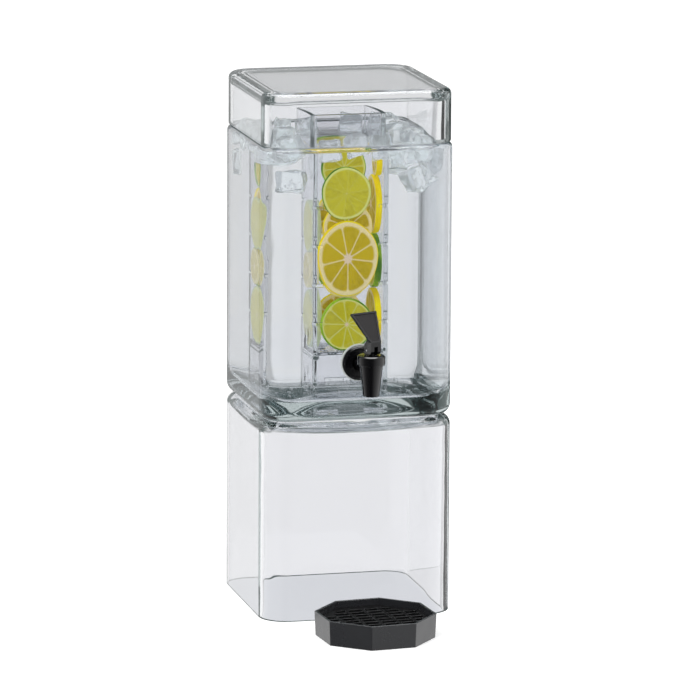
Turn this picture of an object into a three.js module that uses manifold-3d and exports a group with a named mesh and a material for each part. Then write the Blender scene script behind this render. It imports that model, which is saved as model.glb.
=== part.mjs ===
// Infusion drink dispenser: a clear stand, tank and lid, a square tube of sliced fruit inside the tank,
// a self-closing lever tap and an eight-sided drip tray with a lift-out grid.
// Millimetres, +Z up, the tap towards -Y. The origin is the middle of the footprint on the counter.
import * as THREE from "three";
import { mergeVertices } from "three/addons/utils/BufferGeometryUtils.js";
import Module from "manifold-3d";

const wasm = await Module();
wasm.setup();

// Clearances
const seatGap = 0.3; // between pieces that rest on or lean against each other
const runGap = 0.35; // between pieces that slide or turn in each other
const lipGap = 1.2; // between the lid's lip and the tank's mouth
const overrun = 1; // how far a cut runs past the face that it opens

// Stand, tank and lid
const width = 178; // across the stand and the tank
const cornerRadius = 25;
const standHeight = 183;
const standWall = 5;
const standPanel = 5.5; // thickness of the top panel
const standFillet = 9;
const standInnerFillet = 5;
const standDish = 2.5; // depth of the dish in the top panel
const seatMargin = 6; // flat border round the dish, on which the tank stands
const tankHeight = 250.4;
const tankWall = 7.5;
const tankFloor = 16.7; // height of the floor above the foot
const tankFillet = 10;
const tankInnerFillet = 14;
const tankDome = 12; // height of the dome in the underside
const shoulderRadius = 5;
const lidSetback = 1.25; // how far the lid's sides lie inside the tank's
const lidHeight = 49;
const lidWall = 9.75;
const lidPanel = 5.5;
const lidFillet = 6;
const lidInnerFillet = 7;
const lidEdgeRadius = 1.5; // round at the foot of the lid's sides
const lipDepth = 5;

// Infusion tube and its shelf
const tubeWidth = 70;
const tubeRise = 22.3; // tube's top above the tank's rim
const tubeHeight = tankHeight - tankFloor - seatGap + tubeRise;
const tubeWall = 4;
const tubeCornerRadius = 4;
const tubeInnerRadius = 1.8; // least corner radius inside the tube
const slotStart = 65.7; // lowest slot above the tube's foot
const slotPitch = 35.6;
const slotRows = 4;
const slotHeight = 3;
const slotReach = 9; // how far a slot runs in from the corner along each side
const notchWidth = 24; // flow notch in the foot of each side
const notchHeight = 6;
const shelfRise = 39.7; // top of the shelf above the tube's foot
const shelfThickness = 3;
const ledgeWidth = 2.5;
const ledgeHeight = 4.5;
const shelfHoleRadius = 4;
const shelfHoleRows = 4;

// Fruit
const sliceThickness = 6;
const peelRadius = 1.2; // at a slice's edges

// Tap, from the tank's front wall outwards
const tapRise = 54.7; // shank's axis above the tank's foot
const tapReach = 46; // from the wall's face to the spout's axis
const tapOffset = -2.5; // of the spout's axis from the tank's middle
const handleTurn = 20; // degrees that the lever is swivelled to one side
const shankRadius = 7.5;
const shankBoreRadius = 4.2;
const shankTail = 3; // length of shank past the nut
const flangeRadius = 16;
const flangeThickness = 3;
const beadRadius = 13.4; // ring on the flange's face
const beadWidth = 1.6;
const beadHeight = 0.9;
const gasketRadius = 13;
const gasketThickness = 2;
const nutSides = 6;
const nutAcrossFlats = 24;
const nutThickness = 7;
const spoutDrop = 22; // spout's tip below the shank's axis
const spoutTipRadius = 7.3;
const spoutTopRadius = 10.5;
const spoutRise = 6; // top of the taper above the shank's axis
const spoutBoreRadius = 4.6;
const seatDrop = 7; // cup's seat below the shank's axis
const chamberRadius = 6.7;
const neckRadius = 9;
const bonnetRadius = 12.6;
const bonnetHeight = 9.2;
const bonnetPlate = 2.7;
const bonnetChamfer = 1.3;

// Stem, cup, spring and lever
const stemRadius = 2.5;
const stemFootRadius = 3.4;
const stemFootHeight = 2;
const stemFlat = 3.2; // across the flats at the stem's top
const cupRadius = 6;
const cupHeight = 8;
const cupHollow = 2;
const cupWeb = 1.6; // thickness between the hollow and the stem's socket
const cupLip = 1.6; // width of the rim that meets the seat
const springRadius = 4.4; // to the middle of the wire
const springWireRadius = 0.4;
const springTurns = 5;
const pinRadius = 1;
const camBase = 4.2; // pin's axis above the cam's foot, closed
const camLift = 3; // how far the open lever lifts the stem
const leverSwing = 75; // degrees from closed to open
const leverLean = 40; // degrees that the closed paddle leans back
const footWidth = 10.8;
const footBack = 3.6; // foot's back face behind the pin's axis
const footRise = 8; // bend of the paddle above the pin's axis
const paddleLength = 31.5;
const paddleThickness = 2.8;
const paddleTopWidth = 27.5;
const recessDepth = 0.6;
const recessBorder = 1.8;

// Drip tray and grid
const trayAcrossFlats = 101.6;
const trayHeight = 22.4;
const trayTaper = 1; // how far a side leans in from rim to foot
const trayWall = 2.2;
const trayFloor = 2.2;
const traySpace = 14.6; // between the stand's front and the tray
const trayOffset = -2.5;
const trayTurn = 4.9; // degrees
const gridDepth = 6; // grid's top below the rim
const gridThickness = 2.5;
const gridLedge = 2.4;
const gridLedgeHeight = 1.5;
const gridBorder = 4;
const barWidth = 3;
const slotWidth = 6.4;
const cellLength = 15.8;

// Facets
const quarterTurn = Math.PI / 2;
const cornerSteps = 7;
const edgeSteps = 4;
const camSteps = 10;
const roundSegments = 32;
const smallSegments = 16;
const holeSegments = 8; // in each half of a round hole
const wireSegments = 3; // in each half of the spring wire's section
const turnSteps = 10; // along each turn of the spring
const sliceSegments = 24;
const traySides = 8;
const bowlShares = [0, 0.35, 0.7];
const roundShare = 0.25; // least corner radius of a ring, as a share of its half width

// Slices stacked from the shelf up each wall of the tube: the fruit, the radius as a share of the widest
// slice that the wall takes, and the clear space below the slice as a share of that widest radius. Slices
// cut aslant also have their height as a share of their width, and some roll only part of the way aside.
const stackShares = {
  front: [["lime", 0.79, 0.01, 1, 0.5], ["lemon", 0.92, 0.05, 1.23], ["lime", 0.74, 0.035, 1.06, 0.5]],
  inner: [["lime", 0.97, 0.01], ["lemon", 0.88, 0.02], ["lemon", 0.95, 0.04]],
  right: [["lemon", 0.96, 0.01], ["lime", 0.9, 0.02], ["lemon", 0.98, 0.02], ["lemon", 0.42, 0.02]],
  left: [["lime", 0.96, 0.01], ["lemon", 0.6, 0.02], ["lime", 0.87, 0.02]],
  back: [["lemon", 0.97, 0.01], ["lime", 0.95, 0.02], ["lemon", 0.97, 0.02], ["lime", 0.86, 0.02]],
};

// Materials
function plastic(color, roughness, opacity = 1) {
  return new THREE.MeshStandardMaterial({
    color, roughness, metalness: 0, opacity, transparent: opacity < 1,
  });
}
const clearAcrylic = plastic(0xdfe8e8, 0.05, 0.3);
const blackNylon = plastic(0x0d0d0f, 0.25);
const blackTray = plastic(0x1d1e21, 0.4);
const paleSilicone = plastic(0xb9bcba, 0.6);
const limeFlesh = plastic(0xb4c04a, 0.45);
const lemonFlesh = plastic(0xe3d155, 0.45);
const steel = new THREE.MeshStandardMaterial({ color: 0xb8babd, roughness: 0.3, metalness: 1 });

// Points of a rounded square, counter-clockwise seen from above.
function roundedSquare(half, radius) {
  const points = [];
  for (let corner = 0; corner < 4; corner++) {
    const middle = (corner + 0.5) * quarterTurn;
    for (let step = 0; step <= cornerSteps; step++) {
      const angle = (corner + step / cornerSteps) * quarterTurn;
      points.push([
        Math.sign(Math.cos(middle)) * (half - radius) + radius * Math.cos(angle),
        Math.sign(Math.sin(middle)) * (half - radius) + radius * Math.sin(angle),
      ]);
    }
  }
  return points;
}

// A closed shape whose level sections are rounded squares. Each ring is [half width, height]; the rings
// run outwards along an underside and up an outside. A half width of zero is one point on the axis.
function squareLoft(rings, radiusOf, closed = false) {
  const positions = [];
  const rows = rings.map(([half, z]) => {
    const outline = half === 0 ? [[0, 0]] : roundedSquare(half, radiusOf(half));
    return outline.map(([x, y]) => positions.push(x, y, z) / 3 - 1);
  });
  const faces = [];
  const bands = closed ? rows.length : rows.length - 1;
  for (let band = 0; band < bands; band++) {
    const low = rows[band];
    const high = rows[(band + 1) % rows.length];
    for (let i = 0; i < Math.max(low.length, high.length); i++) {
      const [a, b] = [low[i % low.length], low[(i + 1) % low.length]];
      const [c, d] = [high[(i + 1) % high.length], high[i % high.length]];
      if (a !== b) faces.push(a, b, c);
      if (c !== d) faces.push(a, c, d);
    }
  }
  const geometry = new THREE.BufferGeometry();
  geometry.setAttribute("position", new THREE.Float32BufferAttribute(positions, 3));
  geometry.setIndex(faces);
  return geometry;
}

// The corner radius of a ring of the stand, tank or lid: rings at one height stay an even wall apart.
function shellCorner(half) {
  return Math.max(cornerRadius - (width / 2 - half), half * roundShare);
}

// A round edge in a wall's outline, about [half, z], between two angles in quarter turns.
function roundEdge(half, z, radius, from, to) {
  const points = [];
  for (let step = 0; step <= edgeSteps; step++) {
    const angle = (from + ((to - from) * step) / edgeSteps) * quarterTurn;
    points.push([half + radius * Math.cos(angle), z + radius * Math.sin(angle)]);
  }
  return points;
}

// A shallow bowl or dome from the axis out to its flat border.
function bowl(half, z, rise) {
  const points = bowlShares.map((share) => [half * share, z + rise * (1 - share * share)]);
  return [...points, [half, z]];
}

// A solid of revolution about Z. Its outline runs counter-clockwise, radius first and height second,
// and either starts and ends on the axis or ends where it starts.
function turned(outline, segments = roundSegments) {
  const points = outline.map(([radius, z]) => new THREE.Vector2(radius, z));
  return new THREE.LatheGeometry(points, segments).rotateX(quarterTurn);
}

// A ring of revolution with a square section.
function collar(innerRadius, outerRadius, height, segments = roundSegments) {
  const corners = [[innerRadius, 0], [outerRadius, 0], [outerRadius, height], [innerRadius, height]];
  return turned([...corners, corners[0]], segments);
}

// A round rod along Z from the origin.
function rod(radius, length, segments = roundSegments) {
  return turned([[0, 0], [radius, 0], [radius, length], [0, length]], segments);
}

function block(x, y, z) {
  return new THREE.BoxGeometry(x, y, z);
}

// A prism of an outline in X and Y, from z = 0 up.
function prism(outline, depth, holes = []) {
  const shape = new THREE.Shape(outline.map(([x, y]) => new THREE.Vector2(x, y)));
  shape.holes.push(...holes);
  return new THREE.ExtrudeGeometry(shape, { depth, bevelEnabled: false, curveSegments: holeSegments });
}

// The corner radius of a regular polygon from the distance of its flats.
function cornerReach(apothem, sides) {
  return apothem / Math.cos(Math.PI / sides);
}

// A regular polygon with a flat side towards +X.
function polygon(apothem, sides) {
  const corner = cornerReach(apothem, sides);
  return Array.from({ length: sides }, (_, i) => {
    const angle = ((i + 0.5) * 2 * Math.PI) / sides;
    return [corner * Math.cos(angle), corner * Math.sin(angle)];
  });
}

function roundHole(x, y, radius) {
  const hole = new THREE.Path();
  hole.absarc(x, y, radius, 0, 4 * quarterTurn, true);
  return hole;
}

// Turns a geometry so that its own X, Y and Z point along the given directions.
function facing(geometry, x, y, z) {
  const basis = new THREE.Matrix4().makeBasis(
    new THREE.Vector3(...x), new THREE.Vector3(...y), new THREE.Vector3(...z),
  );
  return geometry.applyMatrix4(basis);
}

// Turns a piece made along Z to lie along +Y.
function inward(geometry) {
  return geometry.rotateX(-quarterTurn);
}

// A geometry as a solid that can be joined and cut.
function solid(geometry) {
  const bare = geometry.clone();
  bare.deleteAttribute("normal");
  bare.deleteAttribute("uv");
  const merged = mergeVertices(bare, 1e-4);
  return new wasm.Manifold(new wasm.Mesh({
    numProp: 3,
    vertProperties: new Float32Array(merged.attributes.position.array),
    triVerts: new Uint32Array(merged.index.array),
  }));
}

// A cut or joined solid as a geometry again.
function surface(body) {
  const mesh = body.getMesh();
  const geometry = new THREE.BufferGeometry();
  geometry.setAttribute("position", new THREE.Float32BufferAttribute(mesh.vertProperties, 3));
  geometry.setIndex([...mesh.triVerts]);
  geometry.computeVertexNormals();
  return geometry;
}

// Adds a named piece to its group.
function add(group, name, geometry, material) {
  const mesh = new THREE.Mesh(geometry, material);
  mesh.name = name;
  group.add(mesh);
  return mesh;
}

function group(parent, x, y, z) {
  const made = new THREE.Group();
  made.position.set(x, y, z);
  parent.add(made);
  return made;
}

// The stand: a box open at the bottom, with a dished top panel.
function standGeometry() {
  const half = width / 2;
  const inner = half - standWall;
  const ceiling = standHeight - standPanel;
  const dishHalf = half - standFillet - seatMargin;
  return squareLoft([
    ...bowl(dishHalf, ceiling, -standDish),
    ...roundEdge(inner - standInnerFillet, ceiling - standInnerFillet, standInnerFillet, 1, 0),
    [inner, 0],
    [half, 0],
    ...roundEdge(half - standFillet, standHeight - standFillet, standFillet, 0, 1),
    ...bowl(dishHalf, standHeight, -standDish).reverse(),
  ], shellCorner);
}

// The tank: a domed underside, a rounded foot and a round shoulder at the rim, with a hole for the tap.
function tankGeometry() {
  const half = width / 2;
  const inner = half - tankWall;
  const shell = solid(squareLoft([
    ...bowl(half - tankFillet - seatMargin, 0, tankDome),
    ...roundEdge(half - tankFillet, tankFillet, tankFillet, -1, 0),
    ...roundEdge(half - shoulderRadius, tankHeight - shoulderRadius, shoulderRadius, 0, 1),
    [inner, tankHeight],
    ...roundEdge(inner - tankInnerFillet, tankFloor + tankInnerFillet, tankInnerFillet, 0, -1),
    [0, tankFloor],
  ], shellCorner));
  const drill = inward(rod(shankRadius + runGap, tankWall + 2 * overrun));
  return surface(shell.subtract(solid(drill.translate(tapOffset, -half - overrun, tapRise))));
}

// The lid: a hollow cap with a lip that goes down inside the tank's mouth.
function lidGeometry() {
  const half = width / 2 - lidSetback;
  const inner = half - lidWall;
  const lip = width / 2 - tankWall - lipGap;
  const ceiling = lidHeight - lidPanel;
  return squareLoft([
    [0, ceiling],
    ...roundEdge(inner - lidInnerFillet, ceiling - lidInnerFillet, lidInnerFillet, 1, 0),
    [inner, -lipDepth],
    [lip, -lipDepth],
    [lip, 0],
    ...roundEdge(half - lidEdgeRadius, lidEdgeRadius, lidEdgeRadius, -1, 0),
    ...roundEdge(half - lidFillet, lidHeight - lidFillet, lidFillet, 0, 1),
    [0, lidHeight],
  ], shellCorner);
}

// The tube: open at both ends, with a ledge for the shelf, slots round its corners and notches in its foot.
function tubeGeometry() {
  const half = tubeWidth / 2;
  const inner = half - tubeWall;
  const ledge = shelfRise - shelfThickness - seatGap;
  const corner = (at) => Math.max(tubeCornerRadius - (half - at), tubeInnerRadius);
  let tube = solid(squareLoft([
    [half, 0],
    [half, tubeHeight],
    [inner, tubeHeight],
    [inner, ledge],
    [inner - ledgeWidth, ledge],
    [inner - ledgeWidth, ledge - ledgeHeight / 2],
    [inner, ledge - ledgeHeight],
    [inner, 0],
  ], corner, true));
  for (let row = 0; row < slotRows; row++) {
    for (const x of [-half, half]) {
      for (const y of [-half, half]) {
        const slot = block(2 * slotReach, 2 * slotReach, slotHeight);
        tube = tube.subtract(solid(slot.translate(x, y, slotStart + row * slotPitch)));
      }
    }
  }
  for (const [x, y] of [[notchWidth, tubeWidth + 2 * overrun], [tubeWidth + 2 * overrun, notchWidth]]) {
    tube = tube.subtract(solid(block(x, y, 2 * notchHeight)));
  }
  return surface(tube);
}

// The shelf: a square plate with a grid of round holes.
function shelfGeometry() {
  const half = tubeWidth / 2 - tubeWall - seatGap;
  const pitch = (2 * half) / shelfHoleRows;
  const holes = [];
  for (let row = 0; row < shelfHoleRows; row++) {
    for (let column = 0; column < shelfHoleRows; column++) {
      const [x, y] = [row, column].map((i) => (i + 0.5) * pitch - half);
      holes.push(roundHole(x, y, shelfHoleRadius));
    }
  }
  return prism(roundedSquare(half, tubeCornerRadius), shelfThickness, holes);
}

// Where each wall's slices stand: the middle of the stack, which way it runs, the widest radius, and to
// which side a narrower slice rolls.
function fruitWalls() {
  const inner = tubeWidth / 2 - tubeWall;
  const layer = sliceThickness + seatGap;
  const leaning = inner - seatGap - sliceThickness / 2;
  const sideShift = layer / 2;
  const between = inner - layer - 2 * seatGap;
  return {
    front: { x: 0, y: -leaning, along: "x", widest: inner - seatGap, side: -1 },
    inner: { x: 0, y: layer - leaning, along: "x", widest: between, side: -1 },
    right: { x: leaning, y: sideShift, along: "y", widest: inner - seatGap - sideShift, side: -1 },
    left: { x: -leaning, y: sideShift, along: "y", widest: inner - seatGap - sideShift, side: 1 },
    back: { x: 0, y: leaning, along: "x", widest: between, side: 1 },
  };
}

// A slice with a rounded peel, standing on edge.
function sliceGeometry(radius, along, tallShare) {
  const outline = [
    [0, 0], [radius - peelRadius, 0], [radius, peelRadius],
    [radius, sliceThickness - peelRadius], [radius - peelRadius, sliceThickness], [0, sliceThickness],
  ];
  const slice = turned(outline, sliceSegments).translate(0, 0, -sliceThickness / 2);
  const standing = along === "x" ? slice.rotateX(quarterTurn) : slice.rotateY(quarterTurn);
  return standing.scale(1, 1, tallShare);
}

// Stacks the slices up the tube's walls.
function addFruit(tube) {
  const flesh = { lemon: lemonFlesh, lime: limeFlesh };
  for (const [wall, { x, y, along, widest, side }] of Object.entries(fruitWalls())) {
    let z = shelfRise;
    stackShares[wall].forEach(([fruit, radiusShare, spaceShare, tallShare = 1, rollShare = 1], i) => {
      const radius = widest * radiusShare;
      const slice = sliceGeometry(radius, along, tallShare);
      z += widest * spaceShare + radius * tallShare;
      const placed = add(tube, `${fruit}_slice_${wall}_${i + 1}`, slice, flesh[fruit]);
      placed.position.set(x, y, z);
      placed.position[along] += side * rollShare * (widest - radius);
      z += radius * tallShare;
    });
  }
}

// Places along the shank, measured from the spout's axis towards the tank.
function shankPlaces() {
  const flange = tapReach - 2 * seatGap - gasketThickness - flangeThickness;
  const innerGasket = tapReach + tankWall + seatGap;
  const nut = innerGasket + gasketThickness + seatGap;
  return { flange, gasket: tapReach - seatGap - gasketThickness, innerGasket, nut,
    end: nut + nutThickness + shankTail };
}

// Heights in the barrel, measured from the shank's axis.
function barrelHeights() {
  const bonnetTop = spoutRise + seatGap + bonnetHeight;
  const plate = bonnetTop - bonnetPlate;
  return { seat: -seatDrop, bonnetTop, plate, neckTop: plate - seatGap, cup: -seatDrop + seatGap,
    pin: bonnetTop + seatGap + camBase };
}

// The tap's body: tapered barrel, threaded neck, shank and flange, bored through from spout to tank.
// The arm's top is level with the barrel's shoulder, so that it clears the bonnet.
function tapBodyGeometry() {
  const { flange, end } = shankPlaces();
  const { seat, neckTop } = barrelHeights();
  const barrel = turned([
    [0, -spoutDrop], [spoutTipRadius, -spoutDrop], [spoutTopRadius, spoutRise],
    [neckRadius, spoutRise], [neckRadius, neckTop], [0, neckTop],
  ]);
  const disc = turned([
    [0, 0], [beadRadius - beadWidth, 0], [beadRadius - beadWidth / 2, -beadHeight],
    [beadRadius + beadWidth / 2, -beadHeight], [beadRadius + beadWidth, 0],
    [flangeRadius - beadHeight, 0], [flangeRadius, beadHeight],
    [flangeRadius, flangeThickness], [0, flangeThickness],
  ]);
  const arm = inward(rod(spoutRise, tapReach));
  const shank = inward(rod(shankRadius, end - flange)).translate(0, flange, 0);
  const cuts = [
    rod(chamberRadius, neckTop - seat + overrun).translate(0, 0, seat),
    rod(spoutBoreRadius, spoutDrop - seatDrop + 2 * overrun).translate(0, 0, -spoutDrop - overrun),
    inward(rod(shankBoreRadius, end + overrun, smallSegments)),
  ];
  let body = solid(barrel).add(solid(arm)).add(solid(shank));
  body = body.add(solid(inward(disc).translate(0, flange, 0)));
  for (const cut of cuts) body = body.subtract(solid(cut));
  return surface(body);
}

// The bonnet: a cap over the barrel's neck, bored for the stem.
function bonnetGeometry() {
  const bore = neckRadius + seatGap;
  const stemHole = stemRadius + runGap;
  const plate = bonnetHeight - bonnetPlate;
  const start = [bore, 0];
  return turned([
    start, [bonnetRadius - bonnetChamfer / 2, 0], [bonnetRadius, bonnetChamfer / 2],
    [bonnetRadius, bonnetHeight - bonnetChamfer], [bonnetRadius - bonnetChamfer, bonnetHeight],
    [stemHole, bonnetHeight], [stemHole, plate], [bore, plate], start,
  ]);
}

// The nut: a hexagon with a round hole.
function nutGeometry() {
  const outline = polygon(nutAcrossFlats / 2, nutSides);
  return inward(prism(outline, nutThickness, [roundHole(0, 0, shankRadius + seatGap)]));
}

// The rubber cup: hollow below, with a socket that holds the stem's foot.
function cupGeometry() {
  const socket = cupHollow + cupWeb;
  const throat = socket + stemFootHeight + 2 * seatGap;
  return turned([
    [0, cupHollow], [cupRadius - cupLip, 0], [cupRadius, 0], [cupRadius, cupHeight - cupLip],
    [cupRadius - cupLip / 2, cupHeight], [stemRadius + seatGap, cupHeight],
    [stemRadius + seatGap, throat], [stemFootRadius + seatGap, throat],
    [stemFootRadius + seatGap, socket], [0, socket],
  ], smallSegments);
}

// The stem: a rod with a foot, flattened for the lever's fork over all of its length that comes out of
// the bonnet when it is lifted.
function stemGeometry(length, flatFrom) {
  let stem = solid(turned([
    [0, 0], [stemFootRadius, 0], [stemFootRadius, stemFootHeight], [stemRadius, stemFootHeight],
    [stemRadius, length - stemFlat / 4], [stemRadius - stemFlat / 4, length], [0, length],
  ], smallSegments));
  const flatLength = length - flatFrom + overrun;
  for (const side of [-1, 1]) {
    const cut = block(stemRadius, 2 * stemRadius + overrun, flatLength);
    const x = side * (stemFlat + stemRadius) / 2;
    stem = stem.subtract(solid(cut.translate(x, 0, flatFrom + flatLength / 2)));
  }
  return stem;
}

// A hole or pin across the stem and the lever's fork, about the origin.
function crossRod(radius, length) {
  return rod(radius, length, smallSegments).translate(0, 0, -length / 2).rotateY(quarterTurn);
}

// The spring: one wire wound round the stem.
class Helix extends THREE.Curve {
  constructor(radius, height, turns) {
    super();
    Object.assign(this, { radius, height, turns });
  }
  getPoint(t, target = new THREE.Vector3()) {
    const angle = t * this.turns * 4 * quarterTurn;
    return target.set(this.radius * Math.cos(angle), this.radius * Math.sin(angle), t * this.height);
  }
}

function springGeometry(height) {
  const section = new THREE.Shape();
  section.absarc(0, 0, springWireRadius, 0, 4 * quarterTurn);
  const rise = height - 2 * springWireRadius;
  return new THREE.ExtrudeGeometry(section, {
    steps: springTurns * turnSteps, curveSegments: wireSegments, bevelEnabled: false,
    extrudePath: new Helix(springRadius, rise, springTurns),
  }).translate(0, 0, springWireRadius);
}

// The lever seen from its side, pin at the origin and front at -Y. The toe of its foot is an involute:
// as the lever swings forward, the foot's lowest point moves away from the pin at a steady rate, so the
// stem rises by the same amount for each degree.
function leverSide() {
  const swing = THREE.MathUtils.degToRad(leverSwing);
  const lean = THREE.MathUtils.degToRad(leverLean);
  const rate = camLift / swing;
  const outline = [[footBack, -camBase]];
  for (let step = 0; step <= camSteps; step++) {
    const angle = (swing * step) / camSteps;
    const reach = camBase + rate * angle;
    outline.push([
      -reach * Math.sin(angle) - rate * Math.cos(angle),
      -reach * Math.cos(angle) + rate * Math.sin(angle),
    ]);
  }
  const front = outline.at(-1)[0];
  const along = (distance, depth) => [
    front + distance * Math.sin(lean) + depth * Math.cos(lean),
    footRise + distance * Math.cos(lean) - depth * Math.sin(lean),
  ];
  outline.push(along(0, 0), along(paddleLength, 0), along(paddleLength, paddleThickness));
  outline.push(along(paddleThickness * 2, paddleThickness), [footBack, footRise - paddleThickness]);
  return { outline, front, lean };
}

// The lever: its side and front outlines crossed, with the fork's slot, the pin's hole and a sunk panel.
function leverGeometry() {
  const { outline, front, lean } = leverSide();
  const top = footRise + paddleLength * Math.cos(lean);
  const depth = 4 * paddleLength;
  const side = facing(prism(outline, paddleTopWidth), [0, 1, 0], [0, 0, 1], [1, 0, 0]);
  const face = facing(prism([
    [-footWidth / 2, -2 * camBase], [footWidth / 2, -2 * camBase], [footWidth / 2, footRise],
    [paddleTopWidth / 2, top], [-paddleTopWidth / 2, top], [-footWidth / 2, footRise],
  ], depth), [1, 0, 0], [0, 0, 1], [0, -1, 0]);
  const slotTop = stemRadius * Math.SQRT2 + runGap;
  const slotBottom = -camBase - overrun;
  const slot = block(stemFlat + 2 * runGap, depth, slotTop - slotBottom);
  const flare = (paddleTopWidth - footWidth) / 2;
  const panelTop = paddleLength - recessBorder;
  const halfAt = (distance) => footWidth / 2 + (flare * distance) / paddleLength - recessBorder;
  const panel = prism([
    [-halfAt(recessBorder), recessBorder], [halfAt(recessBorder), recessBorder],
    [halfAt(panelTop), panelTop], [-halfAt(panelTop), panelTop],
  ], recessDepth + overrun);
  const sunk = facing(
    panel.translate(0, 0, -recessDepth),
    [1, 0, 0], [0, Math.sin(lean), Math.cos(lean)], [0, -Math.cos(lean), Math.sin(lean)],
  ).translate(0, front, footRise);
  return surface(
    solid(side.translate(-paddleTopWidth / 2, 0, 0))
      .intersect(solid(face.translate(0, depth / 2, 0)))
      .subtract(solid(slot.translate(0, 0, (slotTop + slotBottom) / 2)))
      .subtract(solid(crossRod(pinRadius + seatGap, 2 * footWidth)))
      .subtract(solid(sunk)),
  );
}

// The whole tap, about the point where the shank's and the spout's axes cross.
function addTap(tap) {
  const { gasket, innerGasket, nut } = shankPlaces();
  const { cup, plate, bonnetTop, pin } = barrelHeights();
  const washer = () => inward(collar(shankRadius + seatGap, gasketRadius, gasketThickness));
  add(tap, "tap_body", tapBodyGeometry(), blackNylon);
  add(tap, "tap_flange_gasket", washer(), paleSilicone).position.y = gasket;
  add(tap, "tap_inner_gasket", washer(), paleSilicone).position.y = innerGasket;
  add(tap, "tap_nut", nutGeometry(), blackNylon).position.y = nut;
  add(tap, "tap_bonnet", bonnetGeometry(), blackNylon).position.z = spoutRise + seatGap;
  add(tap, "seat_cup", cupGeometry(), paleSilicone).position.z = cup;
  const springFoot = cup + cupHeight + seatGap;
  add(tap, "return_spring", springGeometry(plate - seatGap - springFoot), steel).position.z = springFoot;
  const turning = group(tap, 0, 0, 0);
  turning.rotation.z = THREE.MathUtils.degToRad(handleTurn);
  const stemFoot = cup + cupHollow + cupWeb + seatGap;
  const stemTop = pin + stemRadius;
  const eye = crossRod(pinRadius + seatGap, 2 * footWidth).translate(0, 0, pin - stemFoot);
  const flatFrom = bonnetTop - camLift - stemFoot;
  const stem = stemGeometry(stemTop - stemFoot, flatFrom).subtract(solid(eye));
  add(turning, "tap_stem", surface(stem), blackNylon).position.z = stemFoot;
  add(turning, "handle_pin", crossRod(pinRadius, footWidth), steel).position.z = pin;
  add(turning, "tap_handle", leverGeometry(), blackNylon).position.z = pin;
}

// The tray: eight leaning sides, a floor and a ledge for the grid.
function trayGeometry() {
  const rim = trayAcrossFlats / 2;
  const wallAt = (z) => rim - trayTaper * (1 - z / trayHeight) - trayWall;
  const ledge = trayHeight - gridDepth - gridThickness - seatGap;
  const outline = [
    [0, 0], [rim - trayTaper, 0], [rim, trayHeight], [rim - trayWall, trayHeight],
    [wallAt(ledge), ledge], [wallAt(ledge) - gridLedge, ledge],
    [wallAt(ledge) - gridLedge, ledge - gridLedgeHeight],
    [wallAt(ledge - gridLedgeHeight - gridLedge), ledge - gridLedgeHeight - gridLedge],
    [wallAt(trayFloor), trayFloor], [0, trayFloor],
  ];
  return turned(outline.map(([apothem, z]) => [cornerReach(apothem, traySides), z]), traySides)
    .rotateZ(Math.PI / traySides);
}

// The grid: an octagonal plate with rows of slots between long bars and cross bars.
function gridGeometry() {
  const ledge = trayHeight - gridDepth - gridThickness - seatGap;
  const apothem = trayAcrossFlats / 2 - trayTaper * (1 - ledge / trayHeight) - trayWall - seatGap;
  let plate = solid(prism(polygon(apothem, traySides), gridThickness));
  const open = apothem - gridBorder;
  const pitch = barWidth + slotWidth;
  const rows = Math.floor(open / pitch);
  for (let row = -rows; row < rows; row++) {
    const middle = (row + 0.5) * pitch;
    const reach = Math.min(open, open * Math.SQRT2 - Math.abs(middle) - slotWidth / 2);
    const columns = Math.ceil(reach / cellLength);
    for (let column = -columns; column < columns; column++) {
      const left = Math.max(column * cellLength + barWidth / 2, -reach);
      const right = Math.min((column + 1) * cellLength - barWidth / 2, reach);
      if (right - left < barWidth) continue;
      const slot = block(right - left, slotWidth, 2 * gridThickness + 2 * overrun);
      plate = plate.subtract(solid(slot.translate((left + right) / 2, middle, 0)));
    }
  }
  return surface(plate);
}

const dispenser = new THREE.Group();

// The footprint runs from the tray's front corner to the stand's back.
const trayTurned = THREE.MathUtils.degToRad(trayTurn);
const trayReach = Math.max(...polygon(trayAcrossFlats / 2, traySides).map(([x, y]) =>
  x * Math.sin(trayTurned) + y * Math.cos(trayTurned)));
const footprintDepth = width + traySpace + 2 * trayReach;
const tower = group(dispenser, 0, (footprintDepth - width) / 2, 0);
add(tower, "base", standGeometry(), clearAcrylic);

const tank = group(tower, 0, 0, standHeight + seatGap);
add(tank, "reservoir", tankGeometry(), clearAcrylic);
add(tank, "lid", lidGeometry(), clearAcrylic).position.z = tankHeight + seatGap;

const tube = group(tank, 0, 0, tankFloor + seatGap);
add(tube, "infusion_tube", tubeGeometry(), clearAcrylic);
add(tube, "fruit_shelf", shelfGeometry(), clearAcrylic).position.z = shelfRise - shelfThickness;
addFruit(tube);

addTap(group(tank, tapOffset, -width / 2 - tapReach, tapRise));

const tray = group(dispenser, trayOffset, trayReach - footprintDepth / 2, 0);
tray.rotation.z = trayTurned;
add(tray, "drip_tray", trayGeometry(), blackTray);
add(tray, "drip_grid", gridGeometry(), blackTray).position.z = trayHeight - gridDepth - gridThickness;

export default dispenser;
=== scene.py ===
import math
import random
from functools import cache

import bmesh
import bpy
from mathutils import Matrix, Vector, noise


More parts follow.
